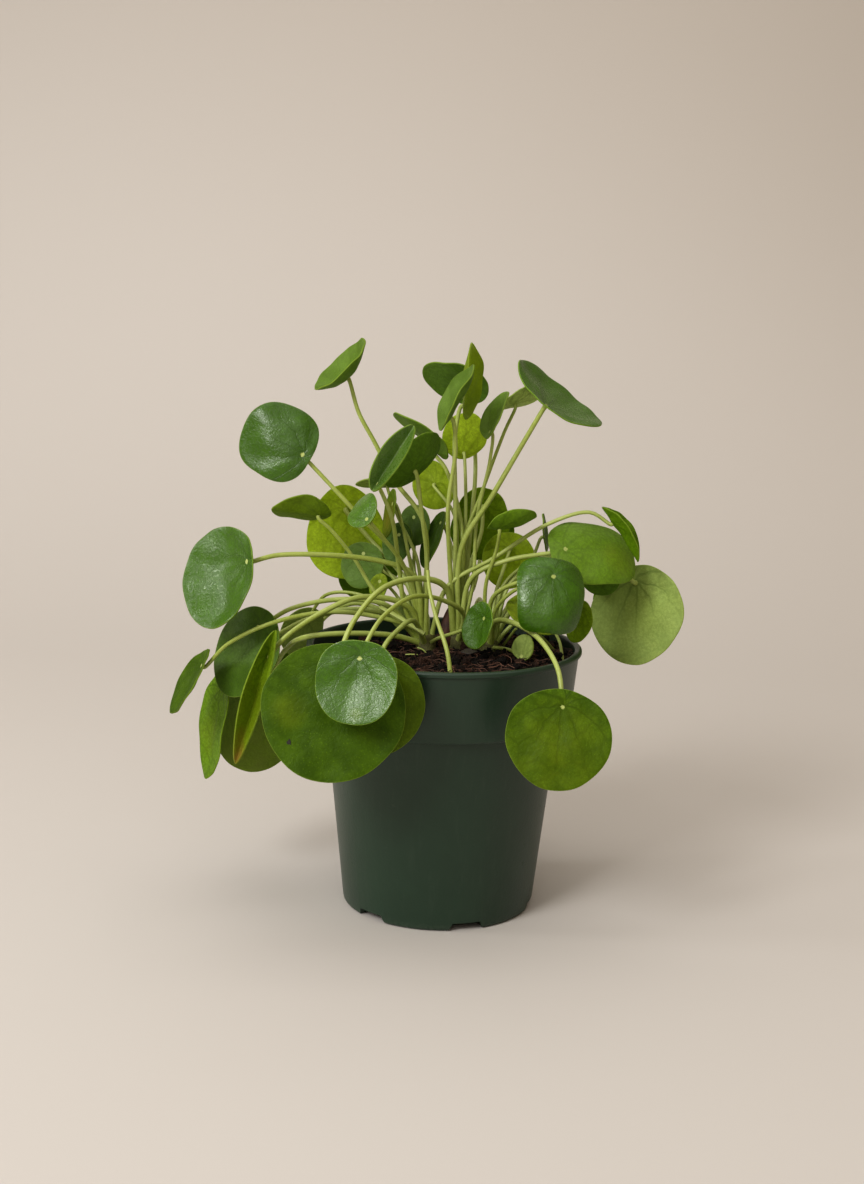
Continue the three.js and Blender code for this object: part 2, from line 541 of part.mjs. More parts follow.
function potGeometry() {
  const innerRim = RIM_RADIUS - 2 * WALL;
  const lipFoot = POT_HEIGHT - LIP_HEIGHT;
  const profile = [
    [0, 0],
    [BASE_RADIUS - FOOT_ROUNDING, 0],
    [BASE_RADIUS, FOOT_ROUNDING],
    [BODY_TOP_RADIUS, STEP_Z],
    [BAND_FOOT_RADIUS - EDGE_ROUNDING, STEP_Z + STEP_SLOPE],
    [BAND_FOOT_RADIUS, BAND_FOOT_Z],
    [BAND_RADIUS, lipFoot - STEP_SLOPE],
    [RIM_RADIUS, lipFoot],
    [RIM_RADIUS, POT_HEIGHT - EDGE_ROUNDING],
    [RIM_RADIUS - LIP_SLOPE, POT_HEIGHT],
    [innerRim + EDGE_ROUNDING, POT_HEIGHT],
    [innerRim, POT_HEIGHT - EDGE_ROUNDING],
    [BAND_FOOT_RADIUS - WALL, STEP_Z + WALL + EDGE_ROUNDING],
    [BODY_TOP_RADIUS - WALL, STEP_Z + WALL - STEP_SLOPE],
    [BASE_RADIUS - WALL, FLOOR],
    [0, FLOOR],
  ];
  let pot = solidOf(turned(profile, POT_SIDES));
  for (let i = 0; i < NOTCH_COUNT; i += 1) {
    pot = pot.subtract(solidOf(notchGeometry(FIRST_NOTCH + (i * 360) / NOTCH_COUNT)));
  }
  return geometryOf(pot);
}

// How far the pot's inside reaches at a height
function innerRadius(z) {
  const lowTop = STEP_Z + WALL - STEP_SLOPE;
  const low = BASE_RADIUS - WALL;
  const high = BODY_TOP_RADIUS - WALL;
  if (z <= lowTop) {
    return low + ((high - low) * (z - FLOOR)) / (lowTop - FLOOR);
  }
  const bandBottom = BAND_FOOT_RADIUS - WALL;
  const bandFoot = STEP_Z + WALL + EDGE_ROUNDING;
  const bandTop = RIM_RADIUS - 2 * WALL;
  const share = (z - bandFoot) / (POT_HEIGHT - EDGE_ROUNDING - bandFoot);
  return bandBottom + (bandTop - bandBottom) * share;
}

function soilHeight(x, y) {
  return SOIL_MIDDLE_Z + SOIL_RISE_TO_RIGHT * x - SOIL_RISE_TO_FRONT * y;
}

// Potting mix: fills the pot up to a rough sloping surface, with a plain hole for each planted piece
function soilGeometry() {
  const draw = seededDraws(SOIL_SEED);
  const flatten = Math.cos(Math.PI / POT_SIDES);
  const ringAt = (radius, z) => {
    const ring = [];
    for (let k = 0; k < SOIL_SIDES; k += 1) {
      const angle = (2 * Math.PI * k) / SOIL_SIDES;
      ring.push(new THREE.Vector3(radius * Math.cos(angle), radius * Math.sin(angle), z));
    }
    return ring;
  };
  const ledge = STEP_Z + WALL;
  const wallRings = [
    ringAt(innerRadius(FLOOR) * flatten - GAP, FLOOR + GAP),
    ringAt(innerRadius(ledge - STEP_SLOPE) * flatten - GAP, ledge),
    ringAt(innerRadius(ledge + EDGE_ROUNDING) * flatten - GAP, ledge + EDGE_ROUNDING + STEP_SLOPE),
  ];
  const rings = [...wallRings];
  for (let i = SOIL_RINGS; i >= 1; i -= 1) {
    const outermost = i === SOIL_RINGS;
    const radius = outermost ? innerRadius(SOIL_EDGE_Z) * flatten - GAP : (SOIL_SPREAD * i) / SOIL_RINGS;
    const roughness = outermost ? SOIL_EDGE_ROUGHNESS : SOIL_ROUGHNESS;
    const ring = ringAt(radius, 0);
    for (const point of ring) {
      point.z = soilHeight(point.x, point.y) + roughness * draw();
    }
    rings.push(ring);
  }
  const points = rings.flat();
  const bottom = points.length;
  points.push(new THREE.Vector3(0, 0, FLOOR + GAP));
  const top = points.length;
  points.push(new THREE.Vector3(0, 0, soilHeight(0, 0)));
  const index = [];
  const at = (i, k) => i * SOIL_SIDES + (k % SOIL_SIDES);
  const last = rings.length - 1;
  for (let k = 0; k < SOIL_SIDES; k += 1) {
    index.push(bottom, at(0, k + 1), at(0, k));
    index.push(top, at(last, k), at(last, k + 1));
    for (let i = 0; i < last; i += 1) {
      index.push(at(i, k), at(i, k + 1), at(i + 1, k + 1));
      index.push(at(i, k), at(i + 1, k + 1), at(i + 1, k));
    }
  }
  let soil = solidOf(indexedGeometry(points, index));
  for (const stem of Object.values(STEMS)) {
    soil = soil.subtract(solidOf(holeGeometry(stem.x, stem.y, STEM_RADIUS + GAP, STEM_FOOT_Z - GAP)));
  }
  const [bareX, bareY, bareFoot] = BARE_STALK[0];
  soil = soil.subtract(solidOf(holeGeometry(bareX, bareY, STALK_ROOT_RADIUS + GAP, bareFoot - GAP)));
  return geometryOf(soil);
}

// A plain round hole from a depth up to above the potting mix
function holeGeometry(x, y, radius, foot) {
  const height = POT_HEIGHT + HOLE_ABOVE - foot;
  const roundOut = 1 / Math.cos(Math.PI / STEM_SIDES);
  const geometry = new THREE.CylinderGeometry(radius * roundOut, radius * roundOut, height, STEM_SIDES);
  geometry.rotateX(Math.PI / 2);
  geometry.translate(x, y, foot + height / 2);
  return geometry;
}

function piece(name, geometry, finish) {
  const mesh = new THREE.Mesh(geometry, new THREE.MeshStandardMaterial({ ...finish, metalness: 0 }));
  mesh.name = name;
  return mesh;
}

const plant = new THREE.Group();
plant.add(piece('pot', potGeometry(), POT_FINISH));
plant.add(piece('soil', soilGeometry(), SOIL_FINISH));
plant.add(piece('stalks', stalksGeometry(), STALK_FINISH));
plant.add(piece('bare_stalk', bareStalkGeometry(), BARE_STALK_FINISH));
for (const leaf of LEAVES) {
  plant.add(piece(`leaf_${leaf.name}`, bladeGeometry(leaf), LEAF_FINISHES[leaf.finish]));
}

export default plant;
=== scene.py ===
# A potted pilea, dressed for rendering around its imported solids: the nursery pot, the potting mix with
# its crumbs, roots and litter, the stems, the leaf stalks and every leaf blade, on a plain pale sweep in
# soft light. Metres, +Z up, the plant's front at -Y.

import math
import random
from typing import NamedTuple

import bpy
from bpy.props import FloatProperty, FloatVectorProperty, IntProperty, PointerProperty
from mathutils import Euler, Matrix, Vector, noise


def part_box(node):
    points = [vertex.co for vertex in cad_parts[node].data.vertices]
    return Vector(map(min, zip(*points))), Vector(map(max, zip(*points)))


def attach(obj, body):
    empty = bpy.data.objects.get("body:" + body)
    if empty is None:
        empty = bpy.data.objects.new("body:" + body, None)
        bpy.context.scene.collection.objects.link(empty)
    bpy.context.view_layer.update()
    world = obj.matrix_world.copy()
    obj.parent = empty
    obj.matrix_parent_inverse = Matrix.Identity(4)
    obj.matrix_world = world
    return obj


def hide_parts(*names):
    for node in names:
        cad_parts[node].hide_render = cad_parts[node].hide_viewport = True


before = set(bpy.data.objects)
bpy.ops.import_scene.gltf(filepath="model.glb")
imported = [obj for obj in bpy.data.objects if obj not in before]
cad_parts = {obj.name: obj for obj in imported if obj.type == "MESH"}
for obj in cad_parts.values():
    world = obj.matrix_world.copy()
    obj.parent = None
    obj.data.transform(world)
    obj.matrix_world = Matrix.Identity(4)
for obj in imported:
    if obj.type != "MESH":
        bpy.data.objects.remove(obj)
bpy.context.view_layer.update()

bl_info = {
    "name": "Potted pilea",
    "version": (1, 0, 0),
    "blender": (4, 5, 0),
    "location": "3D View > Sidebar > Pilea",
    "description": "Dresses a potted pilea: pot, potting mix, stems, stalks, leaves and stage",
    "category": "Object",
}

BODY = "root"

pot_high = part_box("pot")[1]

# Pot, as the solid has it
BAND_RADIUS = 0.0744
BAND_FOOT_RADIUS = 0.071
BAND_FOOT_Z = 0.1094
STEP_Z = 0.1075
STEP_SLOPE = 0.0006
BODY_TOP_RADIUS = 0.0648
BASE_RADIUS = 0.0535
FOOT_ROUNDING = 0.0024
FOOT_STEPS = 3
FOOT_WEAR_HEIGHT = 0.006
LIP_HEIGHT = 0.0026
LIP_SLOPE = 0.0012
EDGE_ROUNDING = 0.0008
WALL = 0.002
FLOOR = 0.003
NOTCH_COUNT = 6
FIRST_NOTCH = 17
NOTCH_WIDTH = 0.0205
NOTCH_TOP_WIDTH = 0.0155
NOTCH_LOW_Z = -0.001
NOTCH_TOP_Z = 0.0045
NOTCH_INNER_RADIUS = 0.044
NOTCH_OUTER_RADIUS = 0.06

# Potting mix
GAP = 0.0003
MIX_MIDDLE_Z = 0.139
MIX_RISE_TO_RIGHT = 0.06
MIX_RISE_TO_FRONT = 0.04
MIX_EDGE_Z = 0.13
MIX_REACH = 0.0675
MIX_SIDES = 120
MIX_RINGS = 34
LUMP_SCALE = 75
FINE_LUMP_SCALE = 210
FINE_LUMP_SHARE = 0.6

# What lies in the mix: the seed of its random draws, and the shape, size range and flatness of each kind
MIX_SEED = 5
CRUMB_KINDS = (
    ("mix_crumbs", "crumb", (0.0009, 0.0024), 0.8),
    ("bark_chips", "chip", (0.0018, 0.0056), 0.35),
    ("mix_clods", "clod", (0.0026, 0.0066), 0.75),
)

# A kind flatter than FLAT_KIND lies flat but for a small tilt, and the others lie any way. Each piece
# varies in size, width and height, is more often dark than light, and is partly sunk in the mix
FLAT_KIND = 0.5
FLAT_TILT = 0.5
CHIP_WEAR = 0.22
SIZE_SPREAD = (0.6, 1.4)
WIDTH_SHARE = (0.5, 0.9)
HEIGHT_SHARE = (0.6, 1.3)
MOSTLY_DARK = 1.6
CRUMB_UNEVENNESS = 0.75
CRUMB_GRAIN = 3.4
CRUMB_SEED_SPREAD = 50
CRUMB_LIFT = 0.2

# Root fibres: the ranges of their bend and number of steps, their stride, radius and arch, and the way
# they wander at each step
FIBRE_BEND = (-0.5, 0.5)
FIBRE_STEPS = (5, 9)
FIBRE_STRIDE = (0.0012, 0.0026)
FIBRE_RADIUS = (0.00014, 0.0003)
FIBRE_ARCH = (0.0002, 0.002)
FIBRE_WANDER = (-0.3, 0.3)
FIBRE_LIFT = 0.0008

# Stems: their girth, their leaf scars, and where each stands and ends
STEM_FOOT_Z = 0.13
STEM_FOOT_RADIUS = 0.0066
STEM_TOP_RADIUS = 0.0052
STEM_CROWN = 0.0012
STEM_SIDES = 20
SCARS = 6
SCAR_RIDGE = 1.05
SCAR_GROOVE = 0.94
SCAR_LENGTH = 0.06
STEMS = {
    "left": Vector((-0.01, 0.008, 0.15)),
    "middle": Vector((0.007, 0.009, 0.152)),
    "right": Vector((0.025, 0.003, 0.148)),
}

# Stalks: where they root, how they spread and meet the blades, their swellings, and their stoutness
# against the usual size of a leaf
STALK_ROOT_Z = 0.145
STALK_SPREAD = 0.0026
STALK_BELOW_BLADE = 0.00085
STALK_REACH_SHARE = 0.35
STALK_END_SHARE = 0.4
STALK_STEP = 0.0024
STALK_SWELLING = 0.35
SWELLING_LENGTH = 0.0016
ROOT_SWELLING = 0.35
ROOT_SHARE = 0.03
USUAL_LEAF = 0.045
THINNEST = 0.75
STOUTEST = 1.2
BARE_STALK_RADII = (0.0013, 0.0009)
BARE_STALK_SWELLING = 0.1
BARE_STALK = (
    (0.003, -0.062, 0.136), (0.003, -0.062, 0.143), (0.001, -0.059, 0.155),
    (-0.005, -0.051, 0.171), (-0.009, -0.044, 0.185), (-0.01, -0.041, 0.194),
)

# Blades
CREASE_ROUNDING = 0.002
WAVES = 3
UV_SPAN = 0.1
EGG_SHAPE = 0.06
BLADE_REACH = 0.004

# The unevenness of a living blade: ridges between the veins, swells, the dimple over the stalk
RIDGES = 7
RIDGE_HEIGHT = 0.00014
RIDGE_RISE = 0.012
RIDGE_ARCHING = 20.0
SWELL_HEIGHT = 0.0016
SWELL_SCALE = 65
SEED_SPREAD = 1000
DIMPLE_DEPTH = 0.0008
DIMPLE_REACH = 0.004
RIM_UNEVENNESS = 0.03
RIM_GRAIN = 1.7
RIM_BEVEL_SHARE = 0.3

# Litter: stalks and needles, each with its radius and the places it runs through
FALLEN_STALKS = (
    (0.0014, ((-0.036, 0.0, 0.166), (-0.0245, -0.005, 0.161), (-0.011, -0.01, 0.1535))),
    (0.0008, ((0.0395, 0.0, 0.156), (0.036, 0.004, 0.15), (0.031, 0.008, 0.1415))),
    (0.0009, ((0.049, -0.01, 0.157), (0.055, -0.004, 0.151), (0.061, 0.004, 0.1435))),
    (0.0009, ((0.06, -0.01, 0.157), (0.0625, -0.018, 0.152), (0.064, -0.022, 0.1435))),
    (0.0004, ((-0.021, -0.014, 0.1428), (-0.018, -0.0145, 0.1431), (-0.0145, -0.0135, 0.1428))),
    (0.0004, ((-0.0145, -0.003, 0.1445), (-0.0115, -0.006, 0.144), (-0.0095, -0.011, 0.1428))),
)
DRY_NEEDLES = (
    (0.0003, ((0.009, -0.005, 0.1425), (0.0105, -0.012, 0.1422), (0.012, -0.02, 0.1412))),
    (0.00025, ((-0.006, -0.03, 0.1425), (0.001, -0.033, 0.1432), (0.008, -0.031, 0.1418))),
)
NEEDLE_COLOUR = (0.3, 0.2, 0.09)

# The dead leaf base that stands against the stems
SCALE_FOOT = Vector((0.001, 0.004, 0.1405))
SCALE_WIDTH = 0.0095
SCALE_HEIGHT = 0.026
SCALE_THICKNESS = 0.0004
SCALE_HOLLOW = 0.004
SCALE_SLANT = 0.002
SCALE_LEAN = 0.22
SCALE_BLUNTNESS = 0.22
SCALE_ROUNDNESS = 0.7
SCALE_UNEVENNESS = 0.0006
SCALE_COLOUR = (0.07, 0.024, 0.011)

# The grey flake in front of the stems
FLAKE_PLACE = (0.013, -0.018)
FLAKE_RADIUS = 0.0042
FLAKE_THICKNESS = 0.0007
FLAKE_BEVEL = 0.0002
FLAKE_LIFT = 0.0012
FLAKE_TURN = Euler((0.12, -0.08, 0.0))
FLAKE_COLOUR = (0.05, 0.04, 0.034)

# The dark scab on a blade: its size, how far it stands off the middle surface in blade thicknesses, its
# colour, and how far across and along the blade it lies
SCAB_RADIUS = 0.0012
SCAB_THICKNESS = 0.0002
SCAB_LIFT = 0.6
SCAB_COLOUR = (0.02, 0.018, 0.01)
SCABS = {"big_front_left": (0.0195, 0.0415)}


class Leaf(NamedTuple):
    """One leaf. at is where the stalk meets the blade. turn and rise say which way the upper side
    faces: turn 0 is the front and 90 the right, rise 90 is straight up. tip is the way the long axis
    runs in the blade: 0 is down the slope, 90 to the right, 180 up it. off is the part of the length
    that lies behind the stalk. fold turns the two sides up and curl the two ends; crease makes the
    fold sharp, wave ripples the edge, and egg is how much wider the end behind the stalk is than the
    tip. The stalk leaves the stem at the height root, passes the points via, and meets the blade from
    below over the distance reach."""

    name: str
    finish: str
    at: tuple
    turn: float
    rise: float
    tip: float
    long: float
    wide: float
    off: float
    stem: str
    via: tuple
    root: float = STALK_ROOT_Z
    fold: float = 0
    curl: float = 0
    egg: float = EGG_SHAPE
    crease: bool = False
    wave: float = 0
    reach: float = BLADE_REACH


LEAVES = (
    Leaf("top_left", "mid", at=(-0.057, 0.01, 0.291), turn=-70, rise=48, tip=180, long=0.043, wide=0.038,
         off=0.45, fold=90, curl=92, stem="left", root=0.148, via=((-0.013, 0.007, 0.212),
         (-0.03, 0.008, 0.236), (-0.041, 0.009, 0.256), (-0.05, 0.009, 0.272))),
    Leaf("high_left", "glossy", at=(-0.079, -0.01, 0.25), turn=0, rise=14, tip=-118, long=0.041,
         wide=0.041, off=0.13, fold=-12, curl=-10, wave=0.0008, stem="left", root=0.147,
         via=((-0.024, 0.002, 0.19), (-0.052, -0.004, 0.221))),
    Leaf("level_left", "olive", at=(-0.071, 0.005, 0.216), turn=-170, rise=58, tip=95, long=0.033,
         wide=0.03, off=0.22, fold=60, curl=10, stem="left",
         via=((-0.039, 0.007, 0.173), (-0.051, 0.006, 0.192), (-0.064, 0.004, 0.208))),
    Leaf("shiny_left", "glossy", at=(-0.107, -0.02, 0.193), turn=-46, rise=18, tip=-58, long=0.055,
         wide=0.057, off=0.13, fold=-10, curl=8, egg=-0.12, stem="left", root=0.146,
         via=((-0.018, 0.001, 0.184), (-0.036, -0.002, 0.192), (-0.09, -0.015, 0.196))),
    Leaf("back_left", "lime", at=(-0.058, 0.046, 0.214), turn=178, rise=8, tip=-2, long=0.056,
         wide=0.046, off=0.26, fold=-10, curl=-8, egg=-0.2, stem="left",
         via=((-0.022, 0.026, 0.176), (-0.044, 0.041, 0.198))),
    Leaf("glossy_fold", "glossy", at=(-0.038, -0.025, 0.237), turn=-6, rise=14, tip=150, long=0.041,
         wide=0.024, off=0.12, fold=115, crease=True, stem="left",
         via=((-0.022, 0.003, 0.165), (-0.026, -0.003, 0.19), (-0.03, -0.013, 0.217))),
    Leaf("dark_under", "dark", at=(-0.019, -0.008, 0.243), turn=-135, rise=36, tip=-142, long=0.042,
         wide=0.033, off=0.42, fold=70, curl=70, stem="left", root=0.149,
         via=((-0.011, 0.002, 0.195), (-0.014, -0.006, 0.218))),
    Leaf("edge_top_left", "mid", at=(-0.007, 0.022, 0.251), turn=115, rise=50, tip=180, long=0.04,
         wide=0.032, off=0.17, fold=40, reach=0.003, stem="middle", root=0.151,
         via=((0.009, 0.01, 0.2), (0.006, 0.016, 0.22), (-0.002, 0.021, 0.242))),
    Leaf("small_shiny", "glossy", at=(-0.043, -0.032, 0.219), turn=-40, rise=30, tip=-130, long=0.024,
         wide=0.02, off=0.15, fold=10, curl=-40, stem="left",
         via=((-0.017, 0.002, 0.175), (-0.026, -0.01, 0.195))),
    Leaf("pale_tip", "pale", at=(-0.034, 0.028, 0.231), turn=-170, rise=70, tip=95, long=0.026,
         wide=0.02, off=0.3, fold=20, stem="left", root=0.146,
         via=((-0.016, 0.014, 0.19), (-0.028, 0.025, 0.214))),
    Leaf("brown_strip", "olive", at=(-0.031, 0.012, 0.222), turn=-75, rise=10, tip=0, long=0.028,
         wide=0.02, off=0.3, fold=10, stem="left", via=((-0.019, 0.01, 0.185),)),
    Leaf("dark_behind_high", "dark", at=(-0.019, 0.035, 0.212), turn=-30, rise=15, tip=20, long=0.024,
         wide=0.02, off=0.3, fold=10, stem="left", via=((-0.018, 0.028, 0.185),)),
    Leaf("dark_behind_low", "dark", at=(-0.027, 0.026, 0.203), turn=-25, rise=20, tip=0, long=0.024,
         wide=0.019, off=0.3, fold=10, stem="left", via=((-0.016, 0.018, 0.178),)),
    Leaf("round_behind_left", "dark", at=(-0.047, 0.031, 0.191), turn=-20, rise=12, tip=0, long=0.027,
         wide=0.026, off=0.25, fold=-8, stem="left",
         via=((-0.024, 0.026, 0.17), (-0.038, 0.032, 0.186))),
    Leaf("bright_low_left", "lime", at=(-0.037, 0.015, 0.178), turn=-30, rise=20, tip=0, long=0.015,
         wide=0.012, off=0.3, fold=10, stem="left",
         via=((-0.022, 0.018, 0.162), (-0.031, 0.022, 0.173))),
    Leaf("grey_low", "pale", at=(-0.023, 0.034, 0.16), turn=-20, rise=35, tip=10, long=0.02, wide=0.016,
         off=0.3, fold=15, stem="left", via=((-0.014, 0.03, 0.152), (-0.018, 0.039, 0.153))),
    Leaf("back_top", "dark", at=(0.008, 0.04, 0.288), turn=152, rise=48, tip=100, long=0.04, wide=0.036,
         off=0.36, fold=-10, stem="middle", root=0.15, via=((0.013, 0.02, 0.205), (0.015, 0.04, 0.248))),
    Leaf("grey_top", "mid", at=(-0.001, -0.026, 0.273), turn=-76, rise=34, tip=180, long=0.039,
         wide=0.032, off=0.22, fold=85, curl=25, stem="middle", root=0.152,
         via=((0.002, 0.001, 0.19), (0, -0.012, 0.225), (0.003, -0.02, 0.256))),
    Leaf("upright_top", "lime", at=(0.008, 0.008, 0.277), turn=72, rise=4, tip=180, long=0.042,
         wide=0.032, off=0.18, fold=80, curl=20, stem="middle", root=0.151,
         via=((0.005, 0.008, 0.19), (0.004, 0.009, 0.226), (0.003, 0.009, 0.262))),
    Leaf("lime_top", "lime", at=(0.008, 0.03, 0.25), turn=-165, rise=25, tip=180, long=0.027, wide=0.026,
         off=0.15, fold=30, curl=30, stem="middle", root=0.149,
         via=((0.01, 0.014, 0.19), (0.01, 0.02, 0.225))),
    Leaf("cup_top", "mid", at=(0.021, 0, 0.264), turn=-70, rise=25, tip=180, long=0.028, wide=0.024,
         off=0.15, fold=50, stem="middle", root=0.15,
         via=((0.015, 0.005, 0.18), (0.016, 0.005, 0.215), (0.022, 0.001, 0.248))),
    Leaf("light_top_right", "pale", at=(0.035, 0.018, 0.279), turn=-138, rise=52, tip=-95, long=0.028,
         wide=0.024, off=0.28, fold=70, curl=20, stem="middle", root=0.148,
         via=((0.009, 0.01, 0.2), (0.018, 0.012, 0.228), (0.03, 0.015, 0.263))),
    Leaf("top_right", "glossy", at=(0.051, -0.01, 0.28), turn=70, rise=53, tip=95, long=0.048,
         wide=0.058, off=0.15, fold=45, curl=15, stem="middle", root=0.152,
         via=((0.008, 0.002, 0.2), (0.023, -0.002, 0.228), (0.041, -0.007, 0.262))),
    Leaf("lime_behind", "lime", at=(-0.007, 0.036, 0.231), turn=150, rise=10, tip=60, long=0.028,
         wide=0.028, off=0.42, fold=10, stem="middle", root=0.147,
         via=((0.006, 0.018, 0.19), (0.004, 0.026, 0.215))),
    Leaf("dark_middle", "dark", at=(-0.004, 0.029, 0.21), turn=-60, rise=22, tip=0, long=0.034,
         wide=0.018, off=0.2, fold=45, stem="middle", root=0.149, via=((0.005, 0.017, 0.188),)),
    Leaf("olive_behind", "olive", at=(0.021, 0.048, 0.218), turn=165, rise=15, tip=5, long=0.045,
         wide=0.032, off=0.25, fold=-10, stem="middle", root=0.146,
         via=((0.012, 0.024, 0.18), (0.02, 0.038, 0.205))),
    Leaf("light_level_right", "mid", at=(0.028, -0.008, 0.213), turn=-170, rise=68, tip=-95, long=0.028,
         wide=0.03, off=0.23, fold=100, curl=40, stem="right", root=0.146,
         via=((0.022, 0, 0.18), (0.027, -0.003, 0.2))),
    Leaf("thin_edge_right", "dark", at=(0.055, 0.018, 0.205), turn=78, rise=10, tip=180, long=0.022,
         wide=0.014, off=0.4, fold=10, stem="right", via=((0.032, 0.01, 0.178), (0.048, 0.015, 0.194))),
    Leaf("large_behind", "lime", at=(0.037, 0.042, 0.194), turn=168, rise=5, tip=8, long=0.034,
         wide=0.031, off=0.3, fold=-10, stem="right", via=((0.028, 0.018, 0.17), (0.034, 0.031, 0.188))),
    Leaf("broad_right", "mid", at=(0.065, -0.005, 0.202), turn=15, rise=42, tip=88, long=0.05, wide=0.04,
         off=0.17, fold=-15, curl=-15, stem="middle", root=0.15,
         via=((0.014, 0.003, 0.183), (0.033, -0.001, 0.194), (0.05, -0.003, 0.198))),
    Leaf("folded_right", "mid", at=(0.091, 0.002, 0.216), turn=75, rise=35, tip=0, long=0.036,
         wide=0.022, off=0.3, fold=85, crease=True, reach=0.003, stem="left", root=0.148,
         via=((0.001, 0.003, 0.178), (0.026, 0.006, 0.194), (0.056, 0.007, 0.214),
         (0.078, 0.005, 0.221))),
    Leaf("pale_right", "pale", at=(0.108, 0.025, 0.179), turn=141, rise=-12, tip=-12, long=0.057,
         wide=0.06, off=0.18, fold=-8, curl=-6, stem="right",
         via=((0.034, 0.012, 0.178), (0.061, 0.017, 0.195), (0.092, 0.022, 0.19))),
    Leaf("under_right", "dark", at=(0.084, 0.015, 0.188), turn=170, rise=25, tip=-20, long=0.026,
         wide=0.023, off=0.3, fold=10, stem="right", via=((0.038, 0.01, 0.182), (0.068, 0.013, 0.187))),
    Leaf("shiny_right", "glossy", at=(0.056, -0.04, 0.192), turn=12, rise=22, tip=-6, long=0.04,
         wide=0.036, off=0.28, fold=-20, curl=-15, stem="right",
         via=((0.025, -0.006, 0.172), (0.031, -0.016, 0.181), (0.043, -0.029, 0.188))),
    Leaf("narrow_right", "olive", at=(0.074, -0.01, 0.17), turn=140, rise=0, tip=14, long=0.025,
         wide=0.017, off=0.2, fold=10, stem="right",
         via=((0.028, 0.002, 0.166), (0.043, -0.002, 0.18), (0.061, -0.009, 0.176))),
    Leaf("under_shiny_right", "lime", at=(0.047, 0.002, 0.165), turn=20, rise=50, tip=55, long=0.034,
         wide=0.028, off=0.4, fold=25, stem="right", via=((0.037, 0.003, 0.157),)),
    Leaf("small_dark_front", "glossy", at=(0.02, -0.035, 0.168), turn=-58, rise=16, tip=-30, long=0.026,
         wide=0.025, off=0.3, fold=15, stem="left",
         via=((-0.003, -0.002, 0.15), (0.008, -0.017, 0.157))),
    Leaf("on_soil", "pale", at=(0.041, -0.03, 0.147), turn=-30, rise=10, tip=170, long=0.014, wide=0.013,
         off=0.15, fold=40, reach=0.0025, stem="right", via=((0.035, -0.014, 0.147),)),
    Leaf("front_right", "mid", at=(0.06, -0.08, 0.132), turn=2, rise=17, tip=-8, long=0.051, wide=0.054,
         off=0.18, fold=6, stem="right", root=0.146, via=((0.027, -0.009, 0.161), (0.036, -0.024, 0.164),
         (0.049, -0.046, 0.16), (0.058, -0.068, 0.148))),
    Leaf("dark_left", "dark", at=(-0.103, -0.003, 0.154), turn=-38, rise=20, tip=-15, long=0.052,
         wide=0.046, off=0.2, fold=-8, stem="left",
         via=((-0.032, 0.005, 0.166), (-0.057, 0.005, 0.169), (-0.086, 0.003, 0.163))),
    Leaf("far_left", "mid", at=(-0.133, -0.012, 0.133), turn=-72, rise=22, tip=-6, long=0.042,
         wide=0.034, off=0.25, fold=65, curl=30, stem="left", root=0.146, via=((-0.014, 0.002, 0.153),
         (-0.034, 0, 0.16), (-0.062, -0.007, 0.164), (-0.093, -0.016, 0.159), (-0.118, -0.015, 0.146))),
    Leaf("long_left", "mid", at=(-0.124, 0.012, 0.115), turn=-62, rise=8, tip=-6, long=0.066, wide=0.04,
         off=0.18, fold=35, stem="left",
         via=((-0.03, 0.014, 0.159), (-0.062, 0.016, 0.16), (-0.098, 0.018, 0.142))),
    Leaf("low_left", "olive", at=(-0.105, 0.031, 0.106), turn=-165, rise=5, tip=5, long=0.058,
         wide=0.052, off=0.2, fold=-6, stem="left",
         via=((-0.031, -0.002, 0.151), (-0.073, -0.016, 0.152), (-0.088, 0.004, 0.14))),
    Leaf("folded_left", "olive", at=(-0.094, -0.034, 0.144), turn=-3, rise=14, tip=-14, long=0.074,
         wide=0.026, off=0.2, fold=128, crease=True, stem="left", root=0.147, via=((-0.02, 0.002, 0.166),
         (-0.045, -0.008, 0.173), (-0.066, -0.018, 0.166), (-0.086, -0.03, 0.153))),
    Leaf("pale_behind_left", "pale", at=(-0.08, 0.03, 0.152), turn=-140, rise=12, tip=0, long=0.03,
         wide=0.03, off=0.25, fold=10, stem="left",
         via=((-0.027, 0.012, 0.159), (-0.049, 0.022, 0.169), (-0.068, 0.027, 0.167))),
    Leaf("big_front_left", "mid", at=(-0.053, -0.086, 0.153), turn=3, rise=18, tip=-6, long=0.069,
         wide=0.072, off=0.14, fold=6, curl=4, stem="middle", root=0.15, via=((0, -0.001, 0.178),
         (-0.014, -0.014, 0.185), (-0.033, -0.035, 0.183), (-0.047, -0.06, 0.17),
         (-0.052, -0.076, 0.159))),
    Leaf("shiny_front", "glossy", at=(-0.042, -0.103, 0.16), turn=-8, rise=20, tip=-3, long=0.041,
         wide=0.04, off=0.2, fold=-10, curl=-10, stem="middle", root=0.146, via=((0.01, -0.008, 0.165),
         (-0.001, -0.024, 0.175), (-0.017, -0.048, 0.181), (-0.031, -0.074, 0.176),
         (-0.038, -0.093, 0.168))),
    Leaf("behind_front_left", "olive", at=(-0.033, -0.08, 0.148), turn=0, rise=6, tip=2, long=0.05,
         wide=0.046, off=0.16, fold=6, stem="left",
         via=((-0.017, -0.016, 0.162), (-0.026, -0.044, 0.161), (-0.032, -0.067, 0.156))),
    Leaf("rear_high", "mid", at=(0.022, 0.074, 0.208), turn=175, rise=30, tip=5, long=0.044, wide=0.038,
         off=0.25, fold=-10, stem="middle",
         via=((0.012, 0.026, 0.166), (0.017, 0.05, 0.171), (0.021, 0.068, 0.188))),
    Leaf("rear_left", "mid", at=(-0.044, 0.076, 0.184), turn=-155, rise=22, tip=0, long=0.042, wide=0.04,
         off=0.25, fold=-10, stem="left",
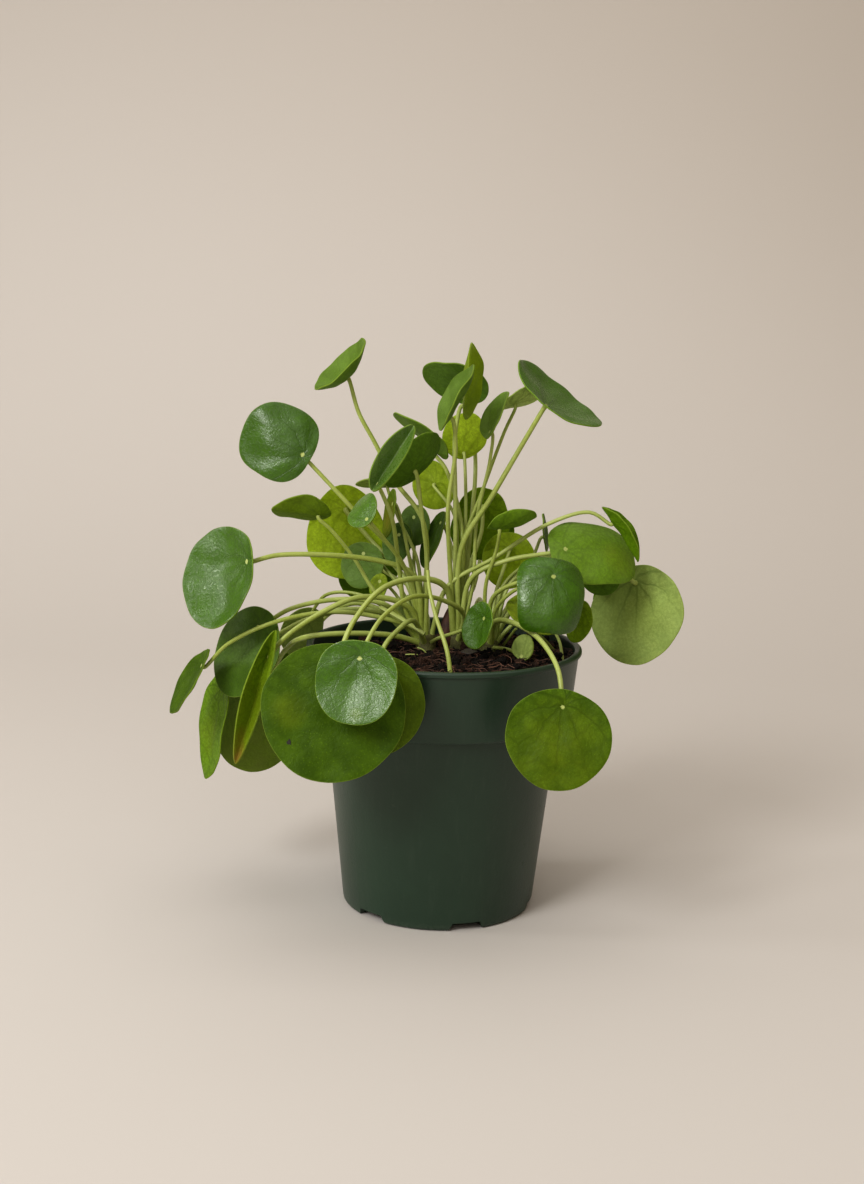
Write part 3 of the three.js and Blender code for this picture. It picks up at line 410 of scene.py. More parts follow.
         via=((-0.019, 0.036, 0.17), (-0.03, 0.054, 0.174), (-0.04, 0.07, 0.178))),
    Leaf("rear_right", "mid", at=(0.104, 0.066, 0.166), turn=135, rise=18, tip=0, long=0.044, wide=0.042,
         off=0.22, fold=-8, stem="right",
         via=((0.04, 0.026, 0.164), (0.062, 0.048, 0.174), (0.09, 0.062, 0.173))),
    Leaf("rear_left_low", "olive", at=(-0.082, 0.064, 0.122), turn=-140, rise=12, tip=5, long=0.046,
         wide=0.044, off=0.2, fold=8, stem="left",
         via=((-0.028, 0.024, 0.156), (-0.052, 0.042, 0.16), (-0.072, 0.057, 0.146))),
    Leaf("rear_middle_low", "mid", at=(-0.03, 0.098, 0.122), turn=-165, rise=15, tip=-5, long=0.048,
         wide=0.046, off=0.18, fold=-8, stem="left",
         via=((-0.01, 0.03, 0.156), (-0.02, 0.058, 0.162), (-0.028, 0.086, 0.146))),
    Leaf("rear_right_low", "glossy", at=(0.024, 0.099, 0.116), turn=165, rise=14, tip=5, long=0.044,
         wide=0.044, off=0.2, fold=-8, stem="middle",
         via=((0.016, 0.03, 0.158), (0.021, 0.06, 0.161), (0.024, 0.087, 0.142))),
    Leaf("rear_far_right", "olive", at=(0.052, 0.086, 0.128), turn=150, rise=15, tip=0, long=0.04,
         wide=0.038, off=0.2, fold=8, stem="right",
         via=((0.033, 0.024, 0.159), (0.042, 0.05, 0.163), (0.05, 0.076, 0.147))),
)


class Form(NamedTuple):
    """How a blade departs from the round and flat: square blunts it into four corners, point narrows
    its two ends, droop lowers the rim, and roll keeps that bend near the rim."""

    square: float = 0
    point: float = 0
    droop: float = 0
    roll: float = 2


LEAF_FORMS = {
    "shiny_right": Form(square=0.9, droop=0.004, roll=4),
    "shiny_left": Form(droop=-0.004),
    "high_left": Form(square=0.3, droop=0.0025),
    "shiny_front": Form(square=0.2, droop=-0.0035),
    "broad_right": Form(square=0.5, droop=0.003, roll=3),
    "pale_right": Form(point=0.12),
    "level_left": Form(point=0.35),
    "folded_left": Form(point=0.3),
    "long_left": Form(point=0.4),
    "far_left": Form(point=0.6, droop=0.002),
    "top_left": Form(point=0.25),
    "grey_top": Form(point=0.2),
    "upright_top": Form(point=0.2),
    "top_right": Form(point=0.15),
    "folded_right": Form(point=0.25),
    "glossy_fold": Form(point=0.15),
}

# How much lighter or darker a leaf is than the rest of its finish: partly its own green, partly painted
# light and shade, lighter for leaves in the shadow of others and darker for well-lit front leaves
LEAF_TONES_AND_PAINTED_LIGHT = {
    "back_left": 0.55, "back_top": 0.8, "behind_front_left": -0.3, "big_front_left": -0.9,
    "broad_right": 0.8, "brown_strip": -0.3, "cup_top": 0.7, "dark_under": 1.0, "edge_top_left": 0.3,
    "far_left": -0.9, "folded_left": 0.6, "folded_right": 0.1, "front_right": -0.5, "grey_top": -0.45,
    "high_left": -0.2, "large_behind": 0.3, "level_left": 1.0, "light_level_right": 0.6,
    "light_top_right": 0.9, "lime_top": 0.9, "long_left": 0.7, "low_left": 1.0, "narrow_right": 0.9,
    "olive_behind": 0.6, "on_soil": 0.2, "pale_right": 0.1, "round_behind_left": 0.5, "shiny_front": 0.1,
    "small_shiny": 0.4, "thin_edge_right": 0.8, "top_left": -0.1, "top_right": 0.15, "under_right": 0.6,
    "under_shiny_right": -0.1, "upright_top": -0.4,
}

# How much painted sheen lies on a leaf: a greyish green mixed into its colour in place of hazy reflected
# light, and on some leaves in shadow, painted light that lightens them
LEAF_PAINTED_SHEEN = {
    "back_top": 0.15, "broad_right": 0.25, "cup_top": 0.65, "dark_behind_high": 0.2, "dark_left": 0.1,
    "dark_under": 0.1, "edge_top_left": 0.5, "glossy_fold": 0.4, "grey_top": 0.3, "level_left": 0.15,
    "light_level_right": 0.2, "light_top_right": 0.25, "low_left": 0.8, "on_soil": 0.15,
    "pale_behind_left": 0.3, "pale_right": 0.45, "round_behind_left": 0.3, "small_shiny": 0.1,
    "thin_edge_right": 0.2, "top_left": 0.3, "under_right": 0.1,
}

# How strongly the veins of a leaf show, where it isn't the usual strength
USUAL_VEINS = 0.8
LEAF_VEINS = {
    "big_front_left": 0.6, "broad_right": 0.45, "front_right": 1.7, "grey_top": 0.4, "pale_right": 1.3,
    "top_left": 0.4, "upright_top": 0.5,
}


class Mark(NamedTuple):
    """A yellow or brown place on a blade: how far across and along the blade it lies from the stalk,
    its radius and its strength."""

    kind: str
    across: float
    along: float
    radius: float
    strength: float


LEAF_MARKS = {
    "big_front_left": (Mark("yellow", 0.0215, 0.026, 0.011, 0.3),),
    "folded_left": (
        Mark("brown", 0.004, 0.046, 0.008, 0.5),
        Mark("brown", 0.001, 0.0585, 0.014, 0.9),
        Mark("yellow", 0.003, 0.035, 0.03, 0.5),
    ),
    "front_right": (Mark("yellow", -0.001, 0.024, 0.034, 0.3),),
    "broad_right": (Mark("yellow", 0.004, 0.03, 0.012, 0.4),),
    # low_left's yellow mark is partly real yellowing and partly painted light, lightening a leaf that lies
    # in the shade of others
    "low_left": (Mark("yellow", -0.003, 0.03, 0.04, 0.5),),
    "long_left": (Mark("yellow", 0.006, 0.03, 0.014, 0.3),),
    "back_left": (Mark("yellow", 0.002, 0.022, 0.014, 0.4), Mark("brown", -0.014, 0.026, 0.004, 0.25)),
    "shiny_front": (Mark("yellow", -0.002, 0.028, 0.004, 0.2),),
    "pale_right": (Mark("yellow", 0.004, 0.018, 0.015, 0.2),),
    "brown_strip": (Mark("brown", 0.0, 0.008, 0.012, 0.4),),
}


class PotSizes(bpy.types.PropertyGroup):
    """Sizes and colour of the pot."""

    rim_radius: FloatProperty(
        name="Rim radius", description="Outer radius of the lip", default=pot_high.x,
        min=0.03, subtype="DISTANCE", unit="LENGTH")
    height: FloatProperty(
        name="Height", description="From the underside to the top of the lip", default=pot_high.z,
        min=0.03, subtype="DISTANCE", unit="LENGTH")
    edge_bevel: FloatProperty(
        name="Edge bevel", description="Softening of the moulded edges", default=0.00035,
        min=0.0, precision=5, subtype="DISTANCE", unit="LENGTH")
    sides: IntProperty(
        name="Sides", description="Faces round the pot", default=144, min=24)
    colour: FloatVectorProperty(
        name="Colour", description="Colour of the plastic", default=(0.018, 0.042, 0.024),
        min=0.0, max=1.0, size=3, subtype="COLOR")
    scuff_colour: FloatVectorProperty(
        name="Scuff colour", description="Colour where the plastic is rubbed",
        default=(0.06, 0.085, 0.06), min=0.0, max=1.0, size=3, subtype="COLOR")


class MixSizes(bpy.types.PropertyGroup):
    """Sizes, amounts and colours of the potting mix."""

    mound: FloatProperty(
        name="Mound", description="How much higher the mix stands in the middle", default=0.003,
        min=0.0, subtype="DISTANCE", unit="LENGTH")
    roughness: FloatProperty(
        name="Surface roughness", description="Height of the lumps in the surface", default=0.0024,
        min=0.0, precision=4, subtype="DISTANCE", unit="LENGTH")
    crumbs: IntProperty(
        name="Crumbs", description="Number of small crumbs", default=3000, min=0)
    chips: IntProperty(
        name="Bark chips", description="Number of flat bark chips", default=300, min=0)
    clods: IntProperty(
        name="Clods", description="Number of larger clods", default=220, min=0)
    fibres: IntProperty(
        name="Fibres", description="Number of fine root fibres", default=190, min=0)
    peat_colour: FloatVectorProperty(
        name="Peat colour", description="Colour of the dark peat", default=(0.008, 0.0045, 0.003),
        min=0.0, max=1.0, size=3, subtype="COLOR")
    bark_colour: FloatVectorProperty(
        name="Bark colour", description="Colour of the lighter bark", default=(0.115, 0.056, 0.036),
        min=0.0, max=1.0, size=3, subtype="COLOR")


class StalkSizes(bpy.types.PropertyGroup):
    """Sizes and colours of the stalks and stems."""

    root_radius: FloatProperty(
        name="Radius at the stem", description="Radius of a stalk where it leaves the stem",
        default=0.0015, min=0.0005, precision=4, subtype="DISTANCE", unit="LENGTH")
    tip_radius: FloatProperty(
        name="Radius at the leaf", description="Radius of a stalk just under its blade",
        default=0.00108, min=0.0003, precision=4, subtype="DISTANCE", unit="LENGTH")
    root_colour: FloatVectorProperty(
        name="Colour at the stem", description="Colour of the lower part of a stalk",
        default=(0.52, 0.6, 0.2), min=0.0, max=1.0, size=3, subtype="COLOR")
    tip_colour: FloatVectorProperty(
        name="Colour at the leaf", description="Colour of the upper part of a stalk",
        default=(0.38, 0.46, 0.08), min=0.0, max=1.0, size=3, subtype="COLOR")
    stem_colour: FloatVectorProperty(
        name="Stem colour", description="Colour of the short woody stems",
        default=(0.13, 0.13, 0.04), min=0.0, max=1.0, size=3, subtype="COLOR")


class LeafSizes(bpy.types.PropertyGroup):
    """Sizes and colours of the leaf blades."""

    thickness: FloatProperty(
        name="Thickness", description="Thickness of a blade", default=0.0008,
        min=0.0002, precision=4, subtype="DISTANCE", unit="LENGTH")
    rings: IntProperty(
        name="Rings", description="Rings of faces from the stalk to the rim", default=14, min=3)
    sides: IntProperty(
        name="Sides", description="Faces round the rim", default=96, min=16)
    rim_line: FloatProperty(
        name="Rim line", description="Width of the light line along the rim", default=0.0005,
        min=0.0, precision=4, subtype="DISTANCE", unit="LENGTH")
    glossy_colour: FloatVectorProperty(
        name="Glossy leaf", description="Upper side of the glossy leaves",
        default=(0.05, 0.14, 0.002), min=0.0, max=1.0, size=3, subtype="COLOR")
    mid_colour: FloatVectorProperty(
        name="Mid green leaf", description="Upper side of the mid green leaves",
        default=(0.1, 0.205, 0.004), min=0.0, max=1.0, size=3, subtype="COLOR")
    olive_colour: FloatVectorProperty(
        name="Olive leaf", description="Upper side of the olive leaves",
        default=(0.135, 0.235, 0.005), min=0.0, max=1.0, size=3, subtype="COLOR")
    # The lime colour is partly the leaves' own lighter green and partly painted light: set lighter to
    # stand in for the glow of leaves lit from behind, besides the light that really passes through them
    lime_colour: FloatVectorProperty(
        name="Lime leaf", description="Upper side of the leaves that light shines through",
        default=(0.35, 0.5, 0.03), min=0.0, max=1.0, size=3, subtype="COLOR")
    pale_colour: FloatVectorProperty(
        name="Pale leaf", description="Upper side of the pale leaves",
        default=(0.3, 0.42, 0.1), min=0.0, max=1.0, size=3, subtype="COLOR")
    # The dark finish is painted shade: a darker copy of the leaf green for leaves that lie in shadow
    dark_colour: FloatVectorProperty(
        name="Dark leaf", description="Upper side of the leaves in shade",
        default=(0.055, 0.125, 0.004), min=0.0, max=1.0, size=3, subtype="COLOR")


class StageSizes(bpy.types.PropertyGroup):
    """The sweep, the lights and the camera."""

    floor_colour: FloatVectorProperty(
        name="Floor colour", description="Colour of the sweep where it lies flat",
        default=(0.57, 0.54, 0.512), min=0.0, max=1.0, size=3, subtype="COLOR")
    # The far corner colour is painted shade: the sweep darker and warmer towards its upper right, where
    # less light falls
    far_painted_shade_colour: FloatVectorProperty(
        name="Far corner colour", description="Colour of the sweep towards its upper right",
        default=(0.6, 0.56, 0.52), min=0.0, max=1.0, size=3, subtype="COLOR")
    # The backdrop colour is painted light: lighter than the floor to make up for the light that falls on
    # the standing sweep less strongly
    wall_colour: FloatVectorProperty(
        name="Backdrop colour", description="Colour of the sweep where it stands",
        default=(0.69, 0.66, 0.635), min=0.0, max=1.0, size=3, subtype="COLOR")
    window_power: FloatProperty(
        name="Window light", description="Power of the light at the upper left", default=27.0,
        min=0.0, subtype="POWER", unit="POWER")
    front_power: FloatProperty(
        name="Front light", description="Power of the wide weak light in front", default=12.0,
        min=0.0, subtype="POWER", unit="POWER")
    side_power: FloatProperty(
        name="Side light", description="Power of the small light far to the left", default=6.0,
        min=0.0, subtype="POWER", unit="POWER")
    top_power: FloatProperty(
        name="Top light", description="Power of the light overhead and behind", default=16.0,
        min=0.0, subtype="POWER", unit="POWER")
    fill: FloatProperty(
        name="Fill light", description="Strength of the even light from all sides", default=0.3,
        min=0.0)
    camera_place: FloatVectorProperty(
        name="Camera place", description="Where the camera stands", default=(-0.0085, -0.848, 0.3245),
        size=3, subtype="TRANSLATION", unit="LENGTH")
    camera_pitch: FloatProperty(
        name="Camera pitch", description="How far the camera looks down",
        default=math.radians(9.98), subtype="ANGLE", unit="ROTATION")
    camera_yaw: FloatProperty(
        name="Camera yaw", description="How far the camera looks to the right",
        default=math.radians(0.07), subtype="ANGLE", unit="ROTATION")
    camera_roll: FloatProperty(
        name="Camera roll", description="How far the camera leans to its left",
        default=math.radians(1.51), subtype="ANGLE", unit="ROTATION")


class PileaSettings(bpy.types.PropertyGroup):
    """All that a user would change."""

    pot: PointerProperty(name="Pot", description="Pot", type=PotSizes)
    mix: PointerProperty(name="Potting mix", description="Potting mix", type=MixSizes)
    stalks: PointerProperty(name="Stalks", description="Stalks and stems", type=StalkSizes)
    leaves: PointerProperty(name="Leaves", description="Leaf blades", type=LeafSizes)
    stage: PointerProperty(name="Stage", description="Sweep, lights and camera", type=StageSizes)


# Steps that every piece shares

def settings():
    return bpy.context.scene.potted_pilea


def make_active(piece):
    bpy.ops.object.select_all(action="DESELECT")
    piece.select_set(True)
    bpy.context.view_layer.objects.active = piece


def start_editing():
    bpy.ops.object.mode_set(mode="EDIT")
    bpy.ops.mesh.select_all(action="SELECT")


def stop_editing():
    bpy.ops.object.mode_set(mode="OBJECT")


def add_object(name, data):
    made = bpy.data.objects.new(name, data)
    bpy.context.scene.collection.objects.link(made)
    return made


def add_disc(sides, radius, height=0.0, fill="NGON"):
    """Adds a flat disc at a height, with nothing else selected."""
    bpy.ops.object.select_all(action="DESELECT")
    bpy.ops.mesh.primitive_circle_add(
        vertices=sides, radius=radius, fill_type=fill, location=(0, 0, height))
    return bpy.context.object


def add_modifier(piece, name, kind, **options):
    modifier = piece.modifiers.new(name, kind)
    for key, value in options.items():
        setattr(modifier, key, value)


def apply_modifiers(piece):
    make_active(piece)
    for modifier in list(piece.modifiers):
        bpy.ops.object.modifier_apply(modifier=modifier.name)


def pull_ring(profile):
    """Pulls the selected disc through the radii and heights of a profile, from the first to the last."""
    radius, height = profile[0]
    for next_radius, next_height in profile[1:]:
        move = {"value": (0, 0, next_height - height)}
        bpy.ops.mesh.extrude_region_move(TRANSFORM_OT_translate=move)
        scale = next_radius / radius
        bpy.ops.transform.resize(value=(scale, scale, 1), center_override=(0, 0, next_height))
        radius, height = next_radius, next_height


def join_pieces(pieces):
    make_active(pieces[0])
    for piece in pieces:
        piece.select_set(True)
    bpy.ops.object.join()
    return bpy.context.object


def finish_piece(piece, name, nodes, materials, smooth_angle=35):
    """Names a piece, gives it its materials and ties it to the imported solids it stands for."""
    piece.name = name
    piece.data.name = name
    if materials:
        piece.data.materials.clear()
        for material in materials:
            piece.data.materials.append(material)
    make_active(piece)
    bpy.ops.object.shade_smooth_by_angle(angle=math.radians(smooth_angle))
    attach(piece, BODY)
    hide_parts(*nodes)


def add_mesh(name, points, faces):
    mesh = bpy.data.meshes.new(name)
    mesh.from_pydata(points, [], faces)
    mesh.update()
    return add_object(name, mesh)


def add_tubes(name, routes, resolution):
    """Makes one mesh of round tapered tubes. Each route is a list of places and radii."""
    curve = bpy.data.curves.new(name, "CURVE")
    curve.dimensions = "3D"
    curve.bevel_depth = 1
    curve.bevel_resolution = resolution
    curve.use_fill_caps = True
    for route in routes:
        spline = curve.splines.new("POLY")
        spline.points.add(len(route) - 1)
        for point, (place, radius) in zip(spline.points, route):
            point.co = (*place, 1)
            point.radius = radius
    make_active(add_object(name, curve))
    bpy.ops.object.convert(target="MESH")
    start_editing()
    bpy.ops.mesh.remove_doubles(threshold=0.000001)
    bpy.ops.mesh.normals_make_consistent(inside=False)
    stop_editing()
    return bpy.context.object


# Shader building

class Nodes:
    """Adds shader nodes to a tree and links them."""

    def __init__(self, tree):
        self.tree = tree

    def add(self, kind, inputs=None, **options):
        node = self.tree.nodes.new(kind)
        for key, value in options.items():
            setattr(node, key, value)
        for key, value in (inputs or {}).items():
            self.plug(node.inputs[key], value)
        return node

    def plug(self, socket, value):
        if isinstance(value, bpy.types.NodeSocket):
            self.tree.links.new(value, socket)
        else:
            socket.default_value = value

    def math(self, operation, a, b):
        return self.add("ShaderNodeMath", {0: a, 1: b}, operation=operation).outputs[0]

    def times(self, a, b):
        return self.math("MULTIPLY", a, b)

    def vectors(self, operation, *inputs):
        return self.add("ShaderNodeVectorMath", dict(enumerate(inputs)), operation=operation).outputs[0]

    def scaled(self, vector, factor):
        inputs = {0: vector, "Scale": factor}
        return self.add("ShaderNodeVectorMath", inputs, operation="SCALE").outputs[0]

    def stretched(self, vector, scale, turn=(0.0, 0.0, 0.0)):
        """A vector stretched along its axes, which draws a pattern out where the scale is low."""
        inputs = {"Vector": vector, "Rotation": turn, "Scale": scale}
        return self.add("ShaderNodeMapping", inputs).outputs["Vector"]

    def axes(self, vector):
        return self.add("ShaderNodeSeparateXYZ", {0: vector}).outputs

    def mix(self, share, a, b):
        node = self.add("ShaderNodeMix", {0: share, 6: a, 7: b}, data_type="RGBA")
        return node.outputs[2]

    def tint(self, skin, mask, share, colour):
        """Lets a share of a colour show where the mask is high."""
        return self.mix(self.times(mask, share), skin, rgba(colour))

    def bump(self, height, strength, distance):
        node = self.add("ShaderNodeBump", {"Strength": strength, "Distance": distance, "Height": height})
        return node.outputs["Normal"]

    def step(self, value, low, high, at_low=0.0, at_high=1.0):
        """A smooth change from one value to another."""
        node = self.add("ShaderNodeMapRange", {
            "Value": value, "From Min": low, "From Max": high, "To Min": at_low, "To Max": at_high,
        }, interpolation_type="SMOOTHSTEP")
        return node.outputs["Result"]

    def noise(self, vector, scale, detail, roughness):
        node = self.add("ShaderNodeTexNoise", {
            "Vector": vector, "Scale": scale, "Detail": detail, "Roughness": roughness,
        })
        return node.outputs["Fac"]


def rgba(colour):
    return (colour[0], colour[1], colour[2], 1.0)


def toned(colour, factor):
    """A colour made lighter or darker."""
    return tuple(min(1.0, channel * factor) for channel in colour)


def new_material(name):
    material = bpy.data.materials.new(name)
    material.use_nodes = True
    material.node_tree.nodes.clear()
    return material, Nodes(material.node_tree)


def new_group(name, outputs):
    """A shader group that takes a vector and puts out values."""
    tree = bpy.data.node_groups.new(name, "ShaderNodeTree")
    tree.interface.new_socket("Vector", in_out="INPUT", socket_type="NodeSocketVector")
    for output in outputs:
        tree.interface.new_socket(output, in_out="OUTPUT", socket_type="NodeSocketFloat")
    nodes = Nodes(tree)
    vector = nodes.add("NodeGroupInput").outputs["Vector"]
    return tree, nodes, vector


def close_group(nodes, values):
    end = nodes.add("NodeGroupOutput")
    for name, value in values.items():
        nodes.plug(end.inputs[name], value)


def use_group(nodes, group, vector):
    node = nodes.add("ShaderNodeGroup", node_tree=group)
    nodes.plug(node.inputs["Vector"], vector)
    return node.outputs


def close_material(nodes, skin, roughness, normal=None, shine=0.5, clear_share=0.0, clear_colour=None):
    """Ends a material with its surface. A part of the light may pass through, tinted."""
    look = {"Base Color": skin, "Roughness": roughness, "Specular IOR Level": shine}
    if normal is not None:
        look["Normal"] = normal
    surface = nodes.add("ShaderNodeBsdfPrincipled", look).outputs["BSDF"]
    if clear_share:
        through = nodes.add("ShaderNodeBsdfTranslucent", {"Color": clear_colour}).outputs["BSDF"]
        blend = nodes.add("ShaderNodeMixShader", {0: clear_share, 1: surface, 2: through})
        surface = blend.outputs["Shader"]
    nodes.add("ShaderNodeOutputMaterial", {"Surface": surface})


# Patterns, in cells to the metre
CLOUD_SCALE = 70.0
GRAIN_SCALE = 560.0
SPECK_SCALE = 650.0
VEIN_WARP_SCALE = 60.0
NETWORK_SCALE = 92.0
VEIN_MESH_SCALE = 430.0
STALK_PATCH_SCALE = 26.0
POT_STREAK_SCALE = 260.0
POT_SCRATCH_SCALE = 420.0
DRY_STREAK_SCALE = 900.0
PAPER_CLOUD_SCALE = 1.3

# Main veins: how many, how they arch, how far they wander, where they fade, and their breadths
MAIN_VEINS = 7
VEIN_ARCHING = 26.0
VEIN_WANDER = 0.01
VEIN_FADE = (0.006, 0.036)
VEIN_BREADTH = (0.0001, 0.0014)
VEIN_LINE_BREADTH = (0.00008, 0.0004)

# Wrinkles round the stalk, and the pale dot over it
WRINKLES_ROUND = 12.0
WRINKLES_OUTWARD = 140.0
DOT_EDGE = (0.0006, 0.0012)


def mottle_group():
    """Cloudy and grainy variation, for plant skin, mix and plastic. The vector is in metres."""
    name = "Mottle"
    if name in bpy.data.node_groups:
        return bpy.data.node_groups[name]
    tree, nodes, vector = new_group(name, ("Clouds", "Grain", "Specks"))
    clouds = nodes.noise(vector, CLOUD_SCALE, detail=3.0, roughness=0.6)
    grain = nodes.noise(vector, GRAIN_SCALE, detail=3.0, roughness=0.65)
    cells = nodes.add("ShaderNodeTexVoronoi", {"Vector": vector, "Scale": SPECK_SCALE})
    close_group(nodes, {
        "Clouds": nodes.step(clouds, 0.33, 0.67),
        "Grain": nodes.step(grain, 0.36, 0.64),
        "Specks": nodes.step(cells.outputs["Distance"], 0.12, 0.24, 1.0, 0.0),
    })
    return tree


def vein_group():
    """The pattern of a blade: main veins that fan out from the stalk and arch towards the tip, the
    network between them, fine wrinkles along them, and the dot over the stalk."""
    name = "Leaf veins"
    if name in bpy.data.node_groups:
        return bpy.data.node_groups[name]
    tree, nodes, vector = new_group(name, ("Main", "Line", "Network", "Mesh", "Wrinkles", "Dot"))
    warp = nodes.add("ShaderNodeTexNoise", {"Vector": vector, "Scale": VEIN_WARP_SCALE, "Detail": 3.0})
    centred = nodes.vectors("SUBTRACT", warp.outputs["Color"], (0.5, 0.5, 0.5))
    bent = nodes.vectors("ADD", vector, nodes.scaled(centred, VEIN_WANDER))
    parts = nodes.axes(bent)
    away = nodes.add("ShaderNodeVectorMath", {0: vector}, operation="LENGTH").outputs["Value"]
    angle = nodes.math("ARCTAN2", parts["X"], parts["Y"])
    arched = nodes.times(angle, nodes.math("ADD", 1.0, nodes.times(away, VEIN_ARCHING)))
    turns = nodes.times(arched, MAIN_VEINS / (2 * math.pi))
    to_vein = nodes.math("PINGPONG", nodes.math("ADD", turns, 100.0), 0.5)
    distance = nodes.times(to_vein, nodes.times(away, 2 * math.pi / MAIN_VEINS))
    fade = nodes.step(away, *VEIN_FADE, 1.0, 0.15)
    edges = [
        nodes.add("ShaderNodeTexVoronoi", {"Vector": bent, "Scale": scale}, feature="DISTANCE_TO_EDGE")
        for scale in (NETWORK_SCALE, VEIN_MESH_SCALE)
    ]
    ring = nodes.scaled(nodes.vectors("NORMALIZE", bent), WRINKLES_ROUND)
    outward = nodes.add("ShaderNodeCombineXYZ", {"Z": nodes.times(away, WRINKLES_OUTWARD)})
    folded = nodes.vectors("ADD", ring, outward.outputs[0])
    close_group(nodes, {
        "Main": nodes.times(nodes.step(distance, *VEIN_BREADTH, 1.0, 0.0), fade),
        "Line": nodes.times(nodes.step(distance, *VEIN_LINE_BREADTH, 1.0, 0.0), fade),
        "Network": nodes.step(edges[0].outputs["Distance"], 0.0, 0.11, 1.0, 0.0),
        "Mesh": nodes.step(edges[1].outputs["Distance"], 0.0, 0.16, 1.0, 0.0),
        "Wrinkles": nodes.noise(folded, 1.0, detail=3.0, roughness=0.6),
        "Dot": nodes.step(away, *DOT_EDGE, 1.0, 0.0),
    })
    return tree


def attribute(nodes, name):
    return nodes.add("ShaderNodeAttribute", attribute_type="GEOMETRY", attribute_name=name).outputs["Fac"]


def flat_place(nodes):
    """The place on the flat blade in metres, from the blade's own map, with the stalk at the middle."""
    place = nodes.add("ShaderNodeUVMap", uv_map="flat").outputs["UV"]
    centred = nodes.vectors("SUBTRACT", place, (0.5, 0.5, 0.0))
    return nodes.scaled(centred, UV_SPAN)


def mottled_material(name):
    """A new material with the place in the object and the mottle there."""
    material, nodes = new_material(name)
    place = nodes.add("ShaderNodeTexCoord").outputs["Object"]
    return material, nodes, place, use_group(nodes, mottle_group(), place)


class Finish(NamedTuple):
    """How one side of a leaf looks: its colour against the finish colour, its roughness and shine, the
    darkening of its veins and network, its wrinkles and the share of light it lets through."""

    colour_factor: float
    roughness: float
    shine: float
    veins: float
    network: float
    wrinkles: float
    clear_share: float


UPPER = {
    "glossy": Finish(1.0, 0.29, 0.6, 0.4, 0.15, 0.45, 0.12),
    "mid": Finish(1.0, 0.48, 0.15, 0.55, 0.35, 0.9, 0.22),
    "olive": Finish(1.0, 0.48, 0.2, 0.4, 0.25, 0.8, 0.3),
    "lime": Finish(1.0, 0.42, 0.3, 0.35, 0.25, 1.2, 0.45),
    "pale": Finish(1.0, 0.55, 0.15, 0.4, 0.2, 0.6, 0.3),
    "dark": Finish(1.0, 0.45, 0.2, 0.3, 0.15, 0.8, 0.12),
}
UNDER = {
    "glossy": Finish(1.7, 0.55, 0.15, 0.3, 0.15, 0.6, 0.2),
    "mid": Finish(1.4, 0.55, 0.15, 0.35, 0.2, 0.6, 0.3),
    "olive": Finish(1.1, 0.55, 0.15, 0.35, 0.2, 0.6, 0.35),
    "lime": Finish(1.0, 0.45, 0.3, 0.4, 0.3, 1.2, 0.5),
    "pale": Finish(1.1, 0.6, 0.15, 0.5, 0.15, 0.6, 0.25),
    "dark": Finish(1.4, 0.55, 0.15, 0.3, 0.12, 0.6, 0.25),
}
YELLOWED = (0.25, 0.3, 0.012)
BROWNED = (0.34, 0.2, 0.045)
RIM_COLOUR = (0.3, 0.4, 0.06)
DOT_COLOUR = (0.62, 0.68, 0.22)
# Painted sheen: the greyish green that stands in for hazy reflected light on a leaf
PAINTED_SHEEN_COLOUR = (0.27, 0.38, 0.12)


def leaf_material(side_name, finish_name, finish, colour):
    """One side of a leaf: mottled skin, veins, a light rim line, the pale dot over the stalk and marks,
    with painted light and shade from each leaf's tone and painted sheen.
    """
    name = f"Leaf {finish_name} {side_name}"
    if name in bpy.data.materials:
        return bpy.data.materials[name]
    material, nodes = new_material(name)
    base = toned(colour, finish.colour_factor)
    lighter = (min(1.0, base[0] * 1.9), min(1.0, base[1] * 1.65), base[2] * 2 + 0.006)
    darker = toned(base, 0.5)
    place = flat_place(nodes)
    mottle = use_group(nodes, mottle_group(), place)
    veins = use_group(nodes, vein_group(), place)
    # The tone is partly each leaf's own green and partly painted light and shade
    skin = nodes.mix(nodes.step(attribute(nodes, "tone"), -1.0, 1.0), rgba(darker), rgba(lighter))
    skin = nodes.tint(skin, mottle["Clouds"], 0.3, toned(lighter, 1.05))
    skin = nodes.tint(skin, mottle["Grain"], 0.38, darker)
    skin = nodes.tint(skin, mottle["Specks"], 0.2, toned(lighter, 1.5))
    strength = attribute(nodes, "vein_strength")
    shares = {"Mesh": finish.network * 0.6, "Network": finish.network, "Main": finish.veins}
    for vein, share in shares.items():
        skin = nodes.tint(skin, nodes.times(veins[vein], share), strength, darker)
    patches = nodes.step(mottle["Clouds"], 0.0, 1.0, 0.55, 1.0)
    # Real yellowing and browning, and painted sheen, which paints reflected light and lightens some leaves
    # in shadow
    for mark, mark_colour in (("bloom", PAINTED_SHEEN_COLOUR), ("yellow", YELLOWED), ("brown", BROWNED)):
        skin = nodes.tint(skin, attribute(nodes, mark), patches, mark_colour)
    rim = nodes.step(attribute(nodes, "from_rim"), 0.0, settings().leaves.rim_line, 0.45, 0.0)
    skin = nodes.mix(rim, skin, rgba(RIM_COLOUR))
    skin = nodes.tint(skin, veins["Dot"], 0.7, DOT_COLOUR)
    relief = nodes.math("ADD", nodes.times(veins["Line"], -0.25),
                        nodes.times(veins["Wrinkles"], finish.wrinkles))
    relief = nodes.math("ADD", relief, nodes.times(veins["Mesh"], -0.1 * finish.wrinkles))
    relief = nodes.math("ADD", relief, nodes.times(mottle["Grain"], 0.22))
    roughness = nodes.step(mottle["Grain"], 0.0, 1.0, finish.roughness - 0.04, finish.roughness + 0.06)
    normal = nodes.bump(relief, strength=0.5, distance=0.0006)
    close_material(nodes, skin, roughness, normal, finish.shine, finish.clear_share,
                   clear_colour=nodes.mix(0.5, skin, rgba(lighter)))
    return material


